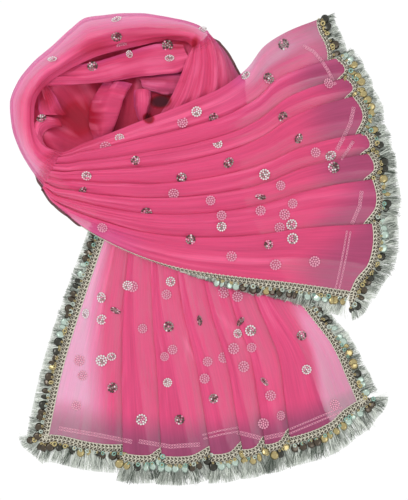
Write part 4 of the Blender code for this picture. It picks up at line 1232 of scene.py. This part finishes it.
def make_motifs(view):
    """Each motif lies on the net that the camera sees at its place."""
    shape, shape_faces, foil_count = rosette_shape()
    on_sheet = {}
    for motif in MOTIF_PLACES:
        found = view.seen(motif.pixel_x, motif.pixel_y)
        if found:
            on_sheet.setdefault(found[0].stretch.node, []).append((motif, *found))
    for node, motifs in on_sheet.items():
        centres, axes, finishes = [], [], []
        for motif, _, place, normal in motifs:
            turn = rng.uniform(0, 2 * math.pi)
            side = unit(np.cross((math.cos(turn), math.sin(turn), 0.0), normal))
            other = np.cross(normal, side) * math.cos(math.radians(motif.lean))
            centres.append(place + normal * 0.0009)
            axes.append(np.array([side, other, normal]) * MOTIF_RADIUS * rng.uniform(0.82, 1.06))
            finishes.append(np.repeat(motif_finishes(motif.look), foil_count))
        points, faces = many(shape, shape_faces, np.array(centres), np.array(axes))
        made = piece(node + "_motifs", points, faces, MOTIFS, np.concatenate(finishes))
        motifs[0][1].trim.append(made)


def make_trails(view):
    """Rows of pale chain links just on the net, for the lace that shows through it."""
    shape, shape_faces = ring_shape(7, 3, 0.4)
    for number, trail in enumerate(TRAILS):
        places = np.array(trail.places, float)
        share = along_row(places)
        length = np.linalg.norm(np.diff(places, axis=0), axis=1).sum()
        at = np.linspace(0, 1, max(4, int(length / 2.6)))
        line = np.stack([np.interp(at, share, places[:, i]) for i in range(2)], axis=1)
        ways = unit(np.gradient(line, axis=0))
        centres, axes, sheets = [], [], []
        for side in (-1, 1):
            for (x, y), (way_x, way_y) in zip(line, ways):
                found = view.seen(x - way_y * side * trail.half_width, y + way_x * side * trail.half_width)
                if found:
                    sheet, place, normal = found
                    along = unit(np.cross(normal, (way_y, way_x, 0.0)))
                    centres.append(place + normal * 0.0003)
                    axes.append(np.array([along * 0.0024, np.cross(normal, along) * 0.0013, normal * 0.0008]))
                    sheets.append(sheet)
        if centres:
            points, faces = many(shape, shape_faces, np.array(centres), np.array(axes))
            made = piece(f"lace_beneath_{number + 1}", points, faces, [MOTIFS[2]])
            sheets[0].trim.append(made)


# Stage, light and camera

FLOOR_HALF = 6.0


def make_stage():
    corners = [(x * FLOOR_HALF, y * FLOOR_HALF, 0) for x, y in ((-1, -1), (1, -1), (1, 1), (-1, 1))]
    mesh = bpy.data.meshes.new("floor")
    mesh.from_pydata(corners, [], [(0, 1, 2, 3)])
    floor = bpy.data.objects.new("floor", mesh)
    bpy.context.scene.collection.objects.link(floor)
    made, _, shader = nodes_of("white_lit_floor")
    shader.inputs["Base Color"].default_value = (0, 0, 0, 1)
    shader.inputs["Specular IOR Level"].default_value = 0.0
    shader.inputs["Emission Color"].default_value = (1, 1, 1, 1)
    shader.inputs["Emission Strength"].default_value = 1.02
    mesh.materials.append(made)


def make_light(name, place, size, power):
    light = bpy.data.lights.new(name, "AREA")
    light.shape, light.size, light.energy = "DISK", size, power
    lamp = bpy.data.objects.new(name, light)
    lamp.location = place
    lamp.rotation_euler = (-Vector(place)).to_track_quat("-Z", "Y").to_euler()
    bpy.context.scene.collection.objects.link(lamp)


def make_camera():
    data = bpy.data.cameras.new("camera")
    camera = bpy.data.objects.new("camera", data)
    bpy.context.scene.collection.objects.link(camera)
    camera.location = (VIEW_X, VIEW_Y, VIEW_HEIGHT)
    half_height = PHOTO_HEIGHT / 2 * PIXEL
    data.lens = data.sensor_width / 2 / (half_height / VIEW_HEIGHT)
    data.clip_start, data.clip_end = 0.01, 30
    bpy.context.scene.camera = camera


def make_world():
    scene = bpy.context.scene
    scene.world = scene.world or bpy.data.worlds.new("world")
    scene.world.use_nodes = True
    background = scene.world.node_tree.nodes["Background"]
    background.inputs["Color"].default_value = (1, 1, 1, 1)
    background.inputs["Strength"].default_value = 0.78
    scene.view_settings.view_transform = "Standard"
    scene.cycles.transparent_max_bounces = 32


def main():
    for old in [o for o in bpy.data.objects if o.type in {"LIGHT", "CAMERA"} or o.name == "Cube"]:
        bpy.data.objects.remove(old)
    make_world()
    make_stage()
    make_light("key", (-1.2, 0.9, 2.2), 1.2, 19)
    make_light("fill", (1.4, -1.2, 2.0), 1.6, 12)
    make_camera()
    make_core()
    sheets = {}
    for stretch in STRETCHES:
        sheets[stretch.node] = make_stretch(stretch, sheets.get(stretch.follows))
    lower, upper, rising = sheets["lower_panel"], sheets["upper_panel"], sheets["rising_stretch"]
    flat_side = [Change(0, BRAID_WIDTH, 0, 0.019), Change(1, BRAID_WIDTH, 0, 0.028)]
    long_side = [
        Change(0.0, 0.0018, 0.8, 0.0), Change(0.3, 0.0024, 0.6, 0.0), Change(0.48, 0.008, 0.2, 0.008),
        Change(0.7, BRAID_WIDTH, 0.0, 0.022), Change(1.0, BRAID_WIDTH, 0.0, 0.034),
    ]
    full = (BRAID_WIDTH, BRAID_WIDTH)
    runs = [
        (lower, hem_run("lower_hem", "lower_hem_lace", lower, full, (0.038, 0.042), True)),
        (lower, side_run("lower_left", "lower_left_lace", lower, 0, 6, 30, flat_side)),
        (lower, side_run("lower_right", "lower_right_lace", lower, -1, -7, 90, flat_side)),
        (upper, hem_run("upper_hem", "upper_hem_lace", upper, (0.0095, BRAID_WIDTH), (0.026, 0.036), False)),
        (upper, side_run("upper_side", "upper_side_lace", upper, -1, -7, 44, long_side)),
    ]
    for sheet, run in runs:
        sheet.trim.extend(make_lace(run))
    rising.trim.append(make_edge("rising_edge", rising.grid, len(rising.grid) - 4))
    upper.trim.append(make_edge("upper_edge", upper.grid, 48))
    view = View(list(sheets.values()))
    make_motifs(view)
    make_trails(view)


main()
